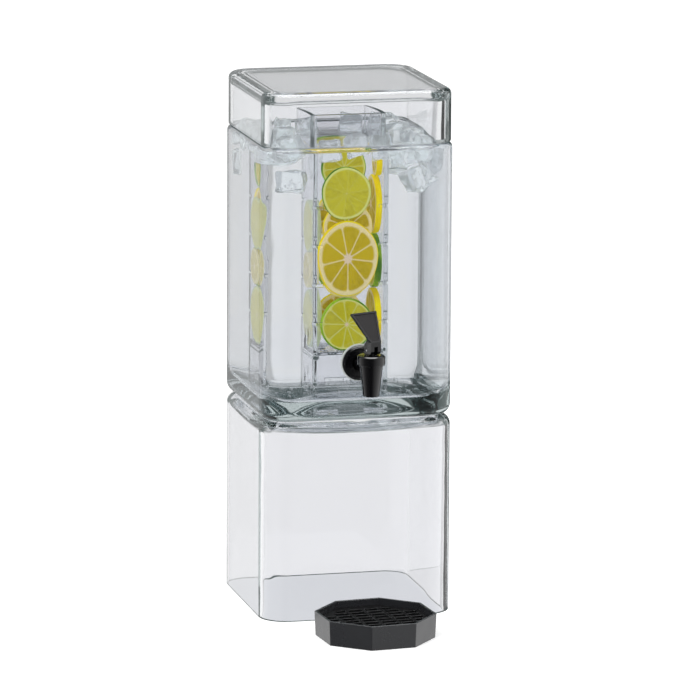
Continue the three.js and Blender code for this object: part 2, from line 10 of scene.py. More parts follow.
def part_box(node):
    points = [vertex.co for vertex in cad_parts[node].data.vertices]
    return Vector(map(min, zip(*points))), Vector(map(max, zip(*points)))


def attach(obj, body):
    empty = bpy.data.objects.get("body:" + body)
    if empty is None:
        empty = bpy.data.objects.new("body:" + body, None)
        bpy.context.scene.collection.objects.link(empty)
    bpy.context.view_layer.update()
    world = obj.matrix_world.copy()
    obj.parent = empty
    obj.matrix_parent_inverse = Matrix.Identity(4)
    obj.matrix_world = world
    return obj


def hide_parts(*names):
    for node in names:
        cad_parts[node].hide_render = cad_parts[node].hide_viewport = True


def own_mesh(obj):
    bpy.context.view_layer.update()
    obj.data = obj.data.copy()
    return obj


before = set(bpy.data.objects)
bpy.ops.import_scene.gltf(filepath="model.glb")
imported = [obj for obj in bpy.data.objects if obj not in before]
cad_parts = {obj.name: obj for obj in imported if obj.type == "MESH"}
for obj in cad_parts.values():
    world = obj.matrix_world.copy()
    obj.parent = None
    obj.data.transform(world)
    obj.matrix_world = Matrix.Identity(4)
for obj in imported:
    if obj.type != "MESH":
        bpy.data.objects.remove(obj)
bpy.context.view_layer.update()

bl_info = {
    "name": "Infusion Drink Dispenser",
    "version": (1, 0, 0),
    "blender": (4, 5, 0),
    "location": "3D View > Sidebar > Dispenser",
    "description": "Builds the looks of a clear drink dispenser with fruit, tap and drip tray",
    "category": "Object",
}

MM = 0.001
QUARTER = math.pi / 2
PHOTO_PIXELS = 700
CAD_GAP = 0.3 * MM  # between pieces of the tap that rest on each other

STAND_LOW, STAND_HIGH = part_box("base")
TANK_LOW, TANK_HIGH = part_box("reservoir")
LID_LOW, LID_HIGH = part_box("lid")
SHELF_LOW, SHELF_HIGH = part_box("fruit_shelf")
TOWER = Vector(((STAND_LOW.x + STAND_HIGH.x) / 2, (STAND_LOW.y + STAND_HIGH.y) / 2, 0))
TOWER_HALF = (STAND_HIGH.x - STAND_LOW.x) / 2


# Colours and property helpers


def linear(code):
    """An sRGB colour written as #rrggbb, as linear red, green, blue and alpha."""
    shares = [int(code[i:i + 2], 16) / 255 for i in (1, 3, 5)]
    return (*[s / 12.92 if s <= 0.04045 else ((s + 0.055) / 1.055) ** 2.4 for s in shares], 1.0)


def length(name, millimetres, description):
    return bpy.props.FloatProperty(
        name=name, description=description, default=millimetres * MM, unit="LENGTH", precision=5)


def share(name, default, description):
    return bpy.props.FloatProperty(
        name=name, description=description, default=default, min=0, max=1, subtype="FACTOR")


def count(name, default, description):
    return bpy.props.IntProperty(name=name, description=description, default=default, min=0)


def shade(name, code, description):
    return bpy.props.FloatVectorProperty(
        name=name, description=description, default=linear(code), size=4, subtype="COLOR", min=0, max=1)


# Settings that a user would change


class ShellSettings(bpy.types.PropertyGroup):
    corner_radius: length("Corner radius", 25, "Upright corners of the stand and the tank")
    stand_wall: length("Stand wall", 5, "Thickness of the stand's sides")
    stand_panel: length("Stand panel", 5, "Thickness of the stand's top panel")
    stand_fillet: length("Stand fillet", 9, "Round edge of the stand's top")
    stand_inner_fillet: length("Stand inner fillet", 5, "Round edge inside the stand's top")
    stand_dish: length("Stand dish", 4, "Depth of the dish in the stand's top")
    stand_sag: length("Stand sag", 3, "How far the stand's ceiling hangs down between its corners")
    seat_margin: length("Seat margin", 6, "Flat border on which the tank stands")
    tank_wall: length("Tank wall", 7.5, "Thickness of the tank's sides")
    tank_floor: length("Tank floor", 16.7, "Height of the tank's floor above its foot")
    tank_fillet: length("Tank fillet", 10, "Round edge of the tank's foot")
    tank_inner_fillet: length("Tank inner fillet", 14, "Round edge of the tank's floor")
    tank_dome: length("Tank dome", 12, "Height of the dome in the tank's underside")
    shoulder_radius: length("Shoulder radius", 5, "Round edge of the tank's rim")
    lid_wall: length("Lid wall", 9.75, "Thickness of the lid's sides")
    lid_panel: length("Lid panel", 5.5, "Thickness of the lid's top")
    lid_fillet: length("Lid fillet", 6, "Round edge of the lid's top")
    lid_inner_fillet: length("Lid inner fillet", 7, "Round edge inside the lid's top")
    lid_edge: length("Lid edge", 1.5, "Round edge at the foot of the lid's sides")
    lip_depth: length("Lip depth", 5, "How far the lid's lip goes down into the tank")
    lip_gap: length("Lip gap", 1.2, "Between the lip and the tank's mouth")
    rim_round: length("Rim round", 0.8, "Round of the moulded rims")
    wave: length("Wave", 1.2, "How far the moulded inner corners wander from round")
    wave_length: length("Wave length", 26, "Size of the waves in the moulded corners")
    corner_bulk: length("Corner bulk", -0.5, "How much thicker the walls are in the corners")
    tint: shade("Clear tint", "#f7f7f9", "Colour of the clear plastic")


class TubeSettings(bpy.types.PropertyGroup):
    edge: length("Tube edge", 0.35, "Round of the tube's edges")
    hole_radius: length("Shelf hole", 4, "Radius of the holes in the fruit shelf")
    hole_rows: count("Shelf hole rows", 4, "Holes along each side of the fruit shelf")


class WaterSettings(bpy.types.PropertyGroup):
    headroom: length("Headroom", 6, "Water level below the tank's rim")
    overlap: length("Overlap", 0.05, "How far the water goes into the tank's wall, so that no air shows between")
    climb: length("Climb", 1.4, "How far the water climbs at the wall")
    wave: length("Wave", 0.5, "Height of the waves on the water")
    tint: shade("Water tint", "#f8fafb", "Colour of the water")
    ice_edge: length("Ice edge", 23, "Length of an ice cube's side")
    ice_round: length("Ice round", 3.5, "Round of an ice cube's edges")
    ice_melt: length("Ice melt", 3.4, "How far the ice has melted out of shape")
    ice_seed: count("Ice seed", 4, "Changes how the ice lies")
    bubbles: count("Bubbles", 150, "Small bubbles on the floor and the tube")
    bubble_radius: length("Bubble radius", 0.9, "Radius of the largest bubbles")


class FruitSettings(bpy.types.PropertyGroup):
    peel_round: length("Peel round", 1.2, "Round of the peel at a slice's edges")
    relief: length("Relief", 0.3, "How far the flesh lies below the pith")
    # Painted haze: slices at the left wall are mixed towards a pale grey-green in place of the light that the
    # clear walls throw over them, and they let some light through
    pale: share("Pale", 0.62, "How washed out the slices at the left wall are")
    lemon_flesh: shade("Lemon flesh", "#cfb300", "Flesh of the lemons")
    lemon_pith: shade("Lemon pith", "#f0dca6", "Pith and skins of the lemons")
    lemon_peel: shade("Lemon peel", "#fbe204", "Peel of the lemons")
    lime_flesh: shade("Lime flesh", "#cfc430", "Flesh of the limes")
    lime_pith: shade("Lime pith", "#dcdc84", "Pith and skins of the limes")
    lime_peel: shade("Lime peel", "#96bb2a", "Peel of the limes")


class TapSettings(bpy.types.PropertyGroup):
    spout_drop: length("Spout drop", 22, "Spout's tip below the shank's axis")
    spout_tip: length("Spout tip", 7.3, "Radius of the spout's tip")
    spout_top: length("Spout top", 10.5, "Radius of the barrel's shoulder")
    spout_rise: length("Spout rise", 6, "Shoulder above the shank's axis")
    spout_bore: length("Spout bore", 4.6, "Radius of the spout's bore")
    seat_drop: length("Seat drop", 7, "Cup's seat below the shank's axis")
    chamber: length("Chamber", 6.7, "Radius of the bore above the seat")
    neck: length("Neck", 9, "Radius of the neck under the bonnet")
    shank: length("Shank", 7.5, "Radius of the shank")
    shank_bore: length("Shank bore", 4.2, "Radius of the shank's bore")
    flange: length("Flange", 16, "Radius of the flange")
    seal: length("Seal", 17, "Radius of the soft seal behind the flange")
    flange_thickness: length("Flange thickness", 3, "Thickness of the flange")
    bead: length("Bead", 13.4, "Radius of the ring on the flange's face")
    bead_width: length("Bead width", 1.6, "Width of the ring on the flange's face")
    bead_height: length("Bead height", 0.9, "Height of the ring on the flange's face")
    bonnet_plate: length("Bonnet plate", 2.7, "Thickness of the bonnet's top")
    stem: length("Stem", 2.5, "Radius of the stem")
    gap: length("Running gap", 0.35, "Between pieces that slide or turn in each other")
    chamfer: length("Chamfer", 1.3, "Chamfer of the bonnet's top")
    edge: length("Edge", 0.35, "Round of the moulded edges")
    spring_wire: length("Spring wire", 0.4, "Radius of the return spring's wire")
    spring_turns: count("Spring turns", 5, "Turns of the return spring")
    black: shade("Tap black", "#08080a", "Colour of the tap")


class TraySettings(bpy.types.PropertyGroup):
    edge: length("Tray edge", 0.45, "Round of the tray's edges")
    grid_edge: length("Grid edge", 0.3, "Round of the grid's bars")
    black: shade("Tray black", "#232427", "Colour of the tray and its grid")


class StageSettings(bpy.types.PropertyGroup):
    floor: shade("Floor", "#f4f4f4", "Colour of the floor")
    floor_lift: share("Floor lift", 0.3, "Glow that makes the lit floor white to the camera")
    room_light: share("Room light", 0.95, "Strength of the even light from all round")
    # Painted shadow: a constant grey glow that rays through the clear shells see on the floor under the stand
    under: shade("Under", "#e4e6ea", "Floor under the clear stand")
    depth_grey: shade("Depth grey", "#5f6a68", "What the thick clear floors throw back from above the horizon")


# Mesh helpers

WELD = 0.002 * MM  # a CAD mesh's points are welded within this
FLAT = math.radians(0.5)  # and its triangles joined where they bend less than this


def new_object(name, data):
    made = bpy.data.objects.new(name, data)
    bpy.context.scene.collection.objects.link(made)
    return made


def new_mesh(name, work):
    """A mesh from a bmesh, which is then freed."""
    mesh = bpy.data.meshes.new(name)
    work.to_mesh(mesh)
    work.free()
    return mesh


def piece(name, vertices, faces, materials, sharp=35):
    """A smooth-shaded object from points in the row frame."""
    mesh = bpy.data.meshes.new(name)
    mesh.from_pydata([tuple(v) for v in vertices], [], faces)
    for material in materials:
        mesh.materials.append(material)
    smooth(mesh, sharp)
    return new_object(name, mesh)


def skin(rows):
    """Faces between rings of points. A ring of one point closes the skin."""
    faces = []
    for low, high in zip(rows, rows[1:]):
        for i in range(max(len(low), len(high))):
            corners = dict.fromkeys((low[i % len(low)], low[(i + 1) % len(low)],
                                     high[(i + 1) % len(high)], high[i % len(high)]))
            if len(corners) > 2:
                faces.append(tuple(corners))
    return faces


def smooth(mesh, sharp=35):
    mesh.shade_smooth()
    mesh.set_sharp_from_angle(angle=math.radians(sharp))


def bake(made):
    """Applies the object's modifiers to its mesh."""
    bpy.context.view_layer.update()
    graph = bpy.context.evaluated_depsgraph_get()
    mesh = bpy.data.meshes.new_from_object(made.evaluated_get(graph))
    made.modifiers.clear()
    made.data = mesh
    return made


def combine(made, tool, operation):
    """Joins a tool to an object or cuts it out, and removes the tool."""
    modifier = made.modifiers.new(operation, "BOOLEAN")
    modifier.operation = operation
    modifier.object = tool
    modifier.solver = "EXACT"
    bake(made)
    bpy.data.objects.remove(tool)


def copied(node, name, materials, width, body, slot, angle=30, edge=-1):
    """A CAD node's shape as one welded skin with small round edges, in place of that node. The edges take the
    material of that number, or at -1 their neighbours'."""
    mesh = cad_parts[node].data.copy()
    mesh.name = name
    work = bmesh.new()
    work.from_mesh(mesh)
    bmesh.ops.remove_doubles(work, verts=work.verts, dist=WELD)
    bmesh.ops.dissolve_limit(work, angle_limit=FLAT, verts=work.verts, edges=work.edges)
    work.to_mesh(mesh)
    work.free()
    mesh.materials.clear()
    for material in materials:
        mesh.materials.append(material)
    smooth(mesh, angle)
    made = new_object(name, mesh)
    bevel = made.modifiers.new("edge", "BEVEL")
    bevel.width = width
    bevel.segments = 2
    bevel.limit_method = "ANGLE"
    bevel.angle_limit = math.radians(angle)
    bevel.harden_normals = True
    bevel.material = edge
    return placed(made, body, slot, node)


def placed(made, body, slot=None, *nodes):
    """Makes a finished piece ride on its body, in place of its CAD nodes."""
    if nodes:
        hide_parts(*nodes)
    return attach(made, body)


# Lofts of rounded squares

CORNER_STEPS = 14
ROUND_STEPS = 8
BOWL_STEPS = 7
WALL_STEP = 5 * MM
SIDE_SHARES = (0.015, 0.05, 0.1, 0.16, 0.25, 0.375, 0.5, 0.625, 0.75, 0.84, 0.9, 0.95, 0.985)
CORNER_WAVES = ((1.0, 0.3), (0.15, 0.15))  # how strong the waves are: front left and right, back left and right
FLAT_EDGE = 1 * MM  # a ring this far inside a round edge, so that its shading doesn't bend the flat face
ROUND_SHARE = 0.25  # least corner radius of a ring, as a share of its half width
FINE_WAVES, FINE_HEIGHT = 2.3, 0.5  # smaller waves on the waves: how many to each, and how high


def arc(half, z, radius, start, end):
    """A round edge of a wall's outline, between two angles in quarter turns."""
    turns = [start + (end - start) * i / ROUND_STEPS for i in range(ROUND_STEPS + 1)]
    return [(half + radius * math.cos(t * QUARTER), z + radius * math.sin(t * QUARTER)) for t in turns]


def bowl(half, z, rise):
    """A shallow bowl or dome from the axis out to its flat border."""
    shares = [i / BOWL_STEPS for i in range(BOWL_STEPS + 1)]
    return [(half * s, z + rise * (1 - s * s)) for s in shares]


def off_axis(spot):
    """How far a spot is from the tower's axis along x and y, the smaller first."""
    return sorted((abs(spot.x - TOWER.x), abs(spot.y - TOWER.y)))


def waved(rings):
    """The same rings, marked as lying on a face that wanders."""
    return [(half, z, 1.0) for half, z in rings]


def spaced(rings):
    """Puts more rings into the long stretches of an outline."""
    rings = [(*ring, 0.0)[:3] for ring in rings]
    result = []
    for low, high in zip(rings, rings[1:]):
        reach = math.dist(low[:2], high[:2])
        steps = max(1, round(reach / WALL_STEP)) if low[0] and high[0] else 1
        result += [tuple(a + (b - a) * i / steps for a, b in zip(low, high)) for i in range(steps)]
    return [*result, rings[-1]]


def square_ring(half, radius):
    """Points of a rounded square, counter-clockwise seen from above. Each comes with the way that it faces and
    how near the middle of a corner it is, from 0 to 1."""
    ring = []
    for corner in range(4):
        middle = (corner + 0.5) * QUARTER
        centre = Vector((math.copysign(half - radius, math.cos(middle)),
                         math.copysign(half - radius, math.sin(middle))))
        for step in range(CORNER_STEPS + 1):
            angle = (corner + step / CORNER_STEPS) * QUARTER
            out = Vector((math.cos(angle), math.sin(angle)))
            ring.append((centre + radius * out, out, math.sin(math.pi * step / CORNER_STEPS) ** 2))
        start = ring[-1][0]
        along = Vector((-out.y, out.x)) * 2 * (half - radius)
        ring += [(start + along * s, out, 0.0) for s in SIDE_SHARES]
    return ring


def shell_corner(half):
    """The corner radius of a ring of the stand, tank or lid: rings at one height stay an even wall apart."""
    radius = bpy.context.scene.dispenser_shells.corner_radius
    return max(radius - (TOWER_HALF - half), half * ROUND_SHARE)


def loft(rings):
    """Points and faces of a skin whose level sections are rounded squares about the tower's axis."""
    s = bpy.context.scene.dispenser_shells
    wave, wave_length, bulk = s.wave, s.wave_length, s.corner_bulk
    vertices, rows = [], []
    axis = [(Vector((0, 0)), Vector((0, 0)), 0.0)]
    for half, z, waviness in spaced(rings):
        row = []
        for point, out, nearness in square_ring(half, shell_corner(half)) if half > 0 else axis:
            spot = Vector((point.x, point.y, z))
            wander = noise.noise(spot / wave_length) + FINE_HEIGHT * noise.noise(FINE_WAVES * spot / wave_length)
            fade = CORNER_WAVES[point.y > 0][point.x > 0]
            spot += waviness * nearness * (wave * fade * wander - bulk) * out.to_3d()
            row.append(len(vertices))
            vertices.append(spot + TOWER)
        rows.append(row)
    return vertices, skin(rows)


# Solids of revolution


def turned(name, outline, materials, matrix, segments=96, sharp=30):
    """A solid of revolution. Its outline is radius and height, counter-clockwise, from axis to axis or closed."""
    rows, vertices = [], []
    for radius, z in outline:
        row = []
        for i in range(segments if radius > 0 else 1):
            angle = 2 * math.pi * i / segments
            row.append(len(vertices))
            vertices.append(matrix @ Vector((radius * math.cos(angle), radius * math.sin(angle), z)))
        rows.append(row)
    if outline[0][0] > 0:
        rows.append(rows[0])
    return piece(name, vertices, skin(rows), materials, sharp)


MOST_CUT = 0.45  # share of a side that the round of one corner may take


def rounded(outline, radius, steps=3):
    """Rounds the corners of an outline that lie off the axis."""
    result = []
    for i, point in enumerate(outline):
        if point[0] <= 0 or i in (0, len(outline) - 1):
            result.append(point)
            continue
        here = Vector(point)
        back = Vector(outline[i - 1]) - here
        ahead = Vector(outline[i + 1]) - here
        cut = min(radius, back.length * MOST_CUT, ahead.length * MOST_CUT)
        start, end = here + back.normalized() * cut, here + ahead.normalized() * cut
        for step in range(steps + 1):
            t = step / steps
            result.append(tuple(start * (1 - t) ** 2 + here * 2 * t * (1 - t) + end * t ** 2))
    return result


# Node helpers


def add_node(tree, kind, inputs=None, **settings):
    """A node with its settings, its values and its links. A node as a value gives its first open output."""
    node = tree.nodes.new(kind)
    for key, value in settings.items():
        setattr(node, key, value)
    for key, value in (inputs or {}).items():
        if isinstance(value, bpy.types.Node):
            value = next(output for output in value.outputs if output.enabled)
        if isinstance(value, bpy.types.NodeSocket):
            tree.links.new(value, node.inputs[key])
        else:
            node.inputs[key].default_value = value
    return node


def new_material(name):
    material = bpy.data.materials.new(name)
    material.use_nodes = True
    material.node_tree.nodes.clear()
    return material, material.node_tree


def shown(material, **ends):
    """Leads the ends of a material's tree, its surface and perhaps its volume, to the output."""
    add_node(material.node_tree, "ShaderNodeOutputMaterial", ends)
    return material


def new_tree(name, inputs):
    """A geometry node tree with named inputs and a material, and the sockets that they come from."""
    tree = bpy.data.node_groups.new(name, "GeometryNodeTree")
    tree.interface.new_socket("Geometry", in_out="OUTPUT", socket_type="NodeSocketGeometry")
    for key, kind in (inputs | {"Material": "Material"}).items():
        tree.interface.new_socket(key, in_out="INPUT", socket_type="NodeSocket" + kind)
    return tree, add_node(tree, "NodeGroupInput").outputs


def end_tree(tree, geometry, given):
    """Ends a geometry node tree: nothing in it stays an instance, and all of it takes the given material."""
    solid = add_node(tree, "GeometryNodeRealizeInstances", {0: geometry})
    painted = add_node(tree, "GeometryNodeSetMaterial", {"Geometry": solid, "Material": given["Material"]})
    add_node(tree, "NodeGroupOutput", {0: painted})
    return tree


def grow(made, tree, values):
    """Runs a node tree on an object with its named inputs set, and keeps the result as a plain mesh."""
    modifier = made.modifiers.new(tree.name, "NODES")
    modifier.node_group = tree
    for item in tree.interface.items_tree:
        if item.in_out == "INPUT" and item.name in values:
            modifier[item.identifier] = values[item.name]
    return bake(made)


# Clear materials


def clear(name, tint, ior, depth_tint=None, density=0.0, light_tint="#ffffff", melt=0.0, cloud=0.0):
    """A clear body. Light from the lamps and off dull surfaces goes straight through it, without caustics."""
    material, tree = new_material(name)
    looks = {"Base Color": tint, "Roughness": 0.0, "IOR": ior, "Transmission Weight": 1 - cloud}
    if melt:
        place = add_node(tree, "ShaderNodeTexCoord").outputs["Object"]
        ripple = add_node(tree, "ShaderNodeTexNoise", {"Vector": place, "Scale": 1 / MELT_WIDTH, "Detail": 2.0})
        looks["Normal"] = add_node(tree, "ShaderNodeBump", {"Height": ripple, "Strength": 1.0, "Distance": melt})
    surface = add_node(tree, "ShaderNodeBsdfPrincipled", looks)
    path = add_node(tree, "ShaderNodeLightPath").outputs
    dull = add_node(tree, "ShaderNodeMath", {
        0: path["Is Shadow Ray"], 1: path["Is Diffuse Ray"]}, operation="MAXIMUM")
    open_way = add_node(tree, "ShaderNodeBsdfTransparent", {"Color": linear(light_tint)})
    ends = {"Surface": add_node(tree, "ShaderNodeMixShader", {0: dull, 1: surface, 2: open_way})}
    if density:
        ends["Volume"] = add_node(tree, "ShaderNodeVolumeAbsorption", {
            "Color": linear(depth_tint), "Density": density})
    return shown(material, **ends)


ACRYLIC_IOR = 1.49
WATER_IOR = 1.333
ICE_IOR = 1.31
JUICE_IOR = 1.38
ACRYLIC_TINTS = {"depth_tint": "#a8bab8", "density": 6.5, "light_tint": "#fbfcfc"}  # the density is per metre
MELT_WIDTH = 9 * MM  # of the dents in melting ice


@cache
def moulded_acrylic():
    # SAN or acrylic, injection moulded and polished: thick edges go grey-green, faces stay clear.
    return clear("moulded_acrylic", bpy.context.scene.dispenser_shells.tint, ACRYLIC_IOR, **ACRYLIC_TINTS)


@cache
def wetted_acrylic():
    # The same plastic under water, where it bends light only by the ratio of the two.
    return clear("wetted_acrylic", bpy.context.scene.dispenser_shells.tint, ACRYLIC_IOR / WATER_IOR,
                 **ACRYLIC_TINTS)


@cache
def drinking_water():
    # Still water: a faint blue-green that only its depth shows.
    return clear("drinking_water", bpy.context.scene.dispenser_water.tint, WATER_IOR, "#c4d2da", 0.4)


@cache
def clear_ice():
    # Ice from a tray: clear outside with a melted, uneven skin and a heart that air has made cloudy.
    return clear("clear_ice", linear("#f8fbfc"), ICE_IOR, melt=1.6 * MM, cloud=0.13)


@cache
def air_bubble():
    # Air under water: the ratio is below one, so its rim mirrors and goes dark.
    return clear("air_bubble", linear("#ffffff"), 1 / WATER_IOR)


# Dull and glossy materials


def moulded_black(name, base, roughness, grain, depth, coat=0.0, sheen=0.5):
    """A black moulded plastic with the fine grain of its mould, that deep, and a little wear in its gloss."""
    material, tree = new_material(name)
    place = add_node(tree, "ShaderNodeTexCoord").outputs["Object"]
    pits = add_node(tree, "ShaderNodeTexNoise", {"Vector": place, "Scale": 1 / grain, "Detail": 3.0})
    wear = add_node(tree, "ShaderNodeTexNoise", {
        "Vector": place, "Scale": 1 / WEAR_WIDTH, "Detail": 4.0, "Roughness": 0.6})
    gloss = add_node(tree, "ShaderNodeMapRange", {
        "Value": wear, "From Min": 0.3, "From Max": 0.7, "To Min": roughness * 0.8, "To Max": roughness * 1.3})
    lift = add_node(tree, "ShaderNodeBump", {"Height": pits, "Strength": 0.6, "Distance": depth})
    surface = add_node(tree, "ShaderNodeBsdfPrincipled", {
        "Base Color": base, "Roughness": gloss, "IOR": NYLON_IOR, "Specular IOR Level": sheen,
        "Coat Weight": coat, "Coat Roughness": 0.1, "Normal": lift})
    return shown(material, Surface=surface)


NYLON_IOR = 1.52  # also near enough for ABS
WEAR_WIDTH = 25 * MM  # of the patches where handling has changed the gloss


@cache
def glossy_nylon():
    # Black nylon from a polished mould: deep black with sharp window reflections.
    return moulded_black("glossy_black_nylon", bpy.context.scene.dispenser_tap.black, 0.14, 1.1 * MM, 0.01 * MM)


@cache
def etched_nylon():
    # The same nylon from an etched part of the mould: the lever's sunk panel is matt and looks lighter.
    return moulded_black("etched_black_nylon", linear("#0e0b0d"), 0.35, 0.5 * MM, 0.02 * MM, sheen=0.28)


@cache
def satin_abs():
    # Black ABS from a fine satin mould: flat faces catch a soft grey sheen at a shallow angle.
    return moulded_black("satin_black_abs", bpy.context.scene.dispenser_tray.black, 0.28, 0.7 * MM, 0.01 * MM,
                         coat=0.6)


@cache
def textured_abs():
    # Black ABS from a coarsely sparked mould: hardly any sheen, so the grid's bars stay black from above.
    return moulded_black("textured_black_abs", linear("#060607"), 0.6, 0.6 * MM, 0.03 * MM, sheen=0.12)


@cache
def pale_silicone():
    # Food-grade silicone rubber: milky and dull, with light that sinks in a little.
    material, tree = new_material("pale_silicone")
    place = add_node(tree, "ShaderNodeTexCoord").outputs["Object"]
    dust = add_node(tree, "ShaderNodeTexNoise", {"Vector": place, "Scale": 1 / (2 * MM), "Detail": 3.0})
    tone = add_node(tree, "ShaderNodeMix", {
        "Factor": dust, 6: linear("#b4b8b6"), 7: linear("#c6cac8")}, data_type="RGBA")
    surface = add_node(tree, "ShaderNodeBsdfPrincipled", {
        "Base Color": tone, "Roughness": 0.55, "IOR": 1.41, "Subsurface Weight": 0.2,
        "Subsurface Radius": (2 * MM, 2 * MM, 2 * MM), "Subsurface Scale": 1.0})
    return shown(material, Surface=surface)


@cache
def spring_steel():
    # Stainless spring wire and pin: drawn, bright, with faint lines along the wire.
    material, tree = new_material("drawn_stainless_steel")
    place = add_node(tree, "ShaderNodeTexCoord").outputs["Object"]
    lines = add_node(tree, "ShaderNodeTexNoise", {"Vector": place, "Scale": 1 / (0.5 * MM), "Detail": 2.0})
    gloss = add_node(tree, "ShaderNodeMapRange", {"Value": lines, "To Min": 0.18, "To Max": 0.34})
    surface = add_node(tree, "ShaderNodeBsdfPrincipled", {
        "Base Color": linear("#b9bbbe"), "Metallic": 1.0, "Roughness": gloss})
    return shown(material, Surface=surface)


DARKEST_SAC = 0.72  # share of the flesh's colour
SEAM_PITH = 0.12  # share of pith in the colour between juice sacs
PALE_CUT = 0.55  # how far the painted haze of a pale slice reaches its cut faces, against its peel
PATCH_WIDTH = 22 * MM  # of the patches on the peel
FADE_FROM, FADE_TO = 5.0, 7.0  # the fruit is seen straight through wall, water and tube at the first


@cache
def cut_citrus(fruit):
    # A wet cut of fruit: juice sacs lie from core to peel, pale skins between them, an oily pored peel.
    # It fades from light that has run to and fro many times in the thick clear floors. Slices at the left wall
    # carry a painted haze.
    material, tree = new_material("cut_" + fruit)
    s, kind = bpy.context.scene.dispenser_fruit, FRUITS[fruit]
    flesh, pith, peel = (list(getattr(s, f"{fruit}_{part}")) for part in ("flesh", "pith", "peel"))
    parts = {key: add_node(tree, "ShaderNodeAttribute", attribute_name=key).outputs["Fac"]
             for key in ("flesh", "peel", "tone", "core", "pale")}
    grain = {"Vector": add_node(tree, "ShaderNodeUVMap", uv_map="grain"), "Scale": 1.0, "Randomness": 0.9}
    sacs = add_node(tree, "ShaderNodeTexVoronoi", grain, voronoi_dimensions="2D")
    seams = add_node(tree, "ShaderNodeTexVoronoi", grain, voronoi_dimensions="2D", feature="DISTANCE_TO_EDGE")
    seam = add_node(tree, "ShaderNodeMapRange", {"Value": seams, "From Min": 0.0, "From Max": 0.1})
    split = add_node(tree, "ShaderNodeSeparateColor", {0: sacs.outputs["Color"]})
    mixture = add_node(tree, "ShaderNodeMath", {0: split, 1: parts["tone"]}, operation="MULTIPLY")
    dark = add_node(tree, "ShaderNodeMix", {
        "Factor": mixture, 6: flesh, 7: [DARKEST_SAC * value for value in flesh[:3]] + [1.0]}, data_type="RGBA")
    wet = add_node(tree, "ShaderNodeMix", {
        "Factor": seam, 6: [(1 - SEAM_PITH) * a + SEAM_PITH * b for a, b in zip(flesh, pith)], 7: dark},
        data_type="RGBA")
    white = add_node(tree, "ShaderNodeMix", {
        "Factor": parts["core"], 6: pith, 7: linear("#ecd3b4")}, data_type="RGBA")
    cut = add_node(tree, "ShaderNodeMix", {"Factor": parts["flesh"], 6: white, 7: wet}, data_type="RGBA")
    place = add_node(tree, "ShaderNodeTexCoord").outputs["Object"]
    pores = add_node(tree, "ShaderNodeTexVoronoi", {
        "Vector": place, "Scale": 1 / kind["pore"], "Randomness": 1.0})
    patches = add_node(tree, "ShaderNodeTexNoise", {"Vector": place, "Scale": 1 / PATCH_WIDTH, "Detail": 3.0})
    mottle = add_node(tree, "ShaderNodeMapRange", {
        "Value": patches, "From Min": 0.38, "From Max": 0.62}, interpolation_type="SMOOTHSTEP")
    rind = add_node(tree, "ShaderNodeMix", {
        "Factor": mottle, 6: peel, 7: [a * b for a, b in zip(kind["old_peel"], peel)] + [1.0]}, data_type="RGBA")
    whole = add_node(tree, "ShaderNodeMix", {"Factor": parts["peel"], 6: cut, 7: rind}, data_type="RGBA")
    # Painted haze on the slices at the left wall: a pale grey-green mixed in, less on the cut faces than on the
    # peel; the same share really lets light through
    reach = add_node(tree, "ShaderNodeMapRange", {"Value": parts["peel"], "To Min": PALE_CUT, "To Max": 1.0})
    washed = add_node(tree, "ShaderNodeMath", {0: parts["pale"], 1: reach}, operation="MULTIPLY")
    painted_haze_colour = add_node(tree, "ShaderNodeMix", {"Factor": washed, 6: whole, 7: linear("#dde2cc")}, data_type="RGBA")
    height = add_node(tree, "ShaderNodeMix", {"Factor": parts["peel"], 2: seam, 3: pores.outputs["Distance"]})
    lift = add_node(tree, "ShaderNodeBump", {"Height": height, "Strength": 0.5, "Distance": 0.25 * MM})
    surface = add_node(tree, "ShaderNodeBsdfPrincipled", {
        "Base Color": painted_haze_colour, "Transmission Weight": washed, "Roughness": 0.3, "IOR": JUICE_IOR / WATER_IOR,
        "Normal": lift, "Subsurface Weight": 0.25, "Subsurface Radius": (6 * MM, 5 * MM, 1.5 * MM),
        "Subsurface Scale": 1.0})
    lost = add_node(tree, "ShaderNodeMapRange", {
        "Value": add_node(tree, "ShaderNodeLightPath").outputs["Ray Depth"],
        "From Min": FADE_FROM, "From Max": FADE_TO})
    gone = add_node(tree, "ShaderNodeBsdfTransparent")
    return shown(material, Surface=add_node(tree, "ShaderNodeMixShader", {0: lost, 1: surface, 2: gone}))


# The clear shells


class DISPENSER_OT_stand(bpy.types.Operator):
    """Moulds the stand: a clear box, open at its foot, with a dished top"""
    bl_idname = "dispenser.stand"
    bl_label = "Stand"

    def execute(self, context):
        s = context.scene.dispenser_shells
        foot, top = STAND_LOW.z, STAND_HIGH.z
        inner, edge = TOWER_HALF - s.stand_wall, s.rim_round
        ceiling = top - s.stand_panel
        dish = TOWER_HALF - s.stand_fillet - s.seat_margin
        vertices, faces = loft([
            *bowl(dish, ceiling, -s.stand_dish),
            *waved(arc(inner - s.stand_inner_fillet, ceiling - s.stand_inner_fillet,
                       s.stand_inner_fillet, 1, 0)),
            (inner, foot + 2 * WALL_STEP, 0.2),
            *arc(inner + edge, foot + edge, edge, 2, 3),
            *arc(TOWER_HALF - edge, foot + edge, edge, 3, 4),
            *arc(TOWER_HALF - s.stand_fillet, top - s.stand_fillet, s.stand_fillet, 0, 1),
            *reversed(bowl(dish, top, -s.stand_dish)),
        ])
        low = ceiling - s.stand_inner_fillet - s.stand_sag
        for spot in vertices:
            near, far = off_axis(spot)
            halfway = (ceiling + top) / 2 - s.stand_dish * (far < dish)
            if far < inner + edge / 2 and spot.z < halfway:  # the ceiling, and not the panel's top
                hang = max(0, min(1, (spot.z - low) / s.stand_sag))
                spot.z -= s.stand_sag * (1 - (near / inner) ** 2) * hang
        made = piece("stand_shell", vertices, faces, [moulded_acrylic()])
        placed(made, "stand", "clear_acrylic", "base")
        return {"FINISHED"}


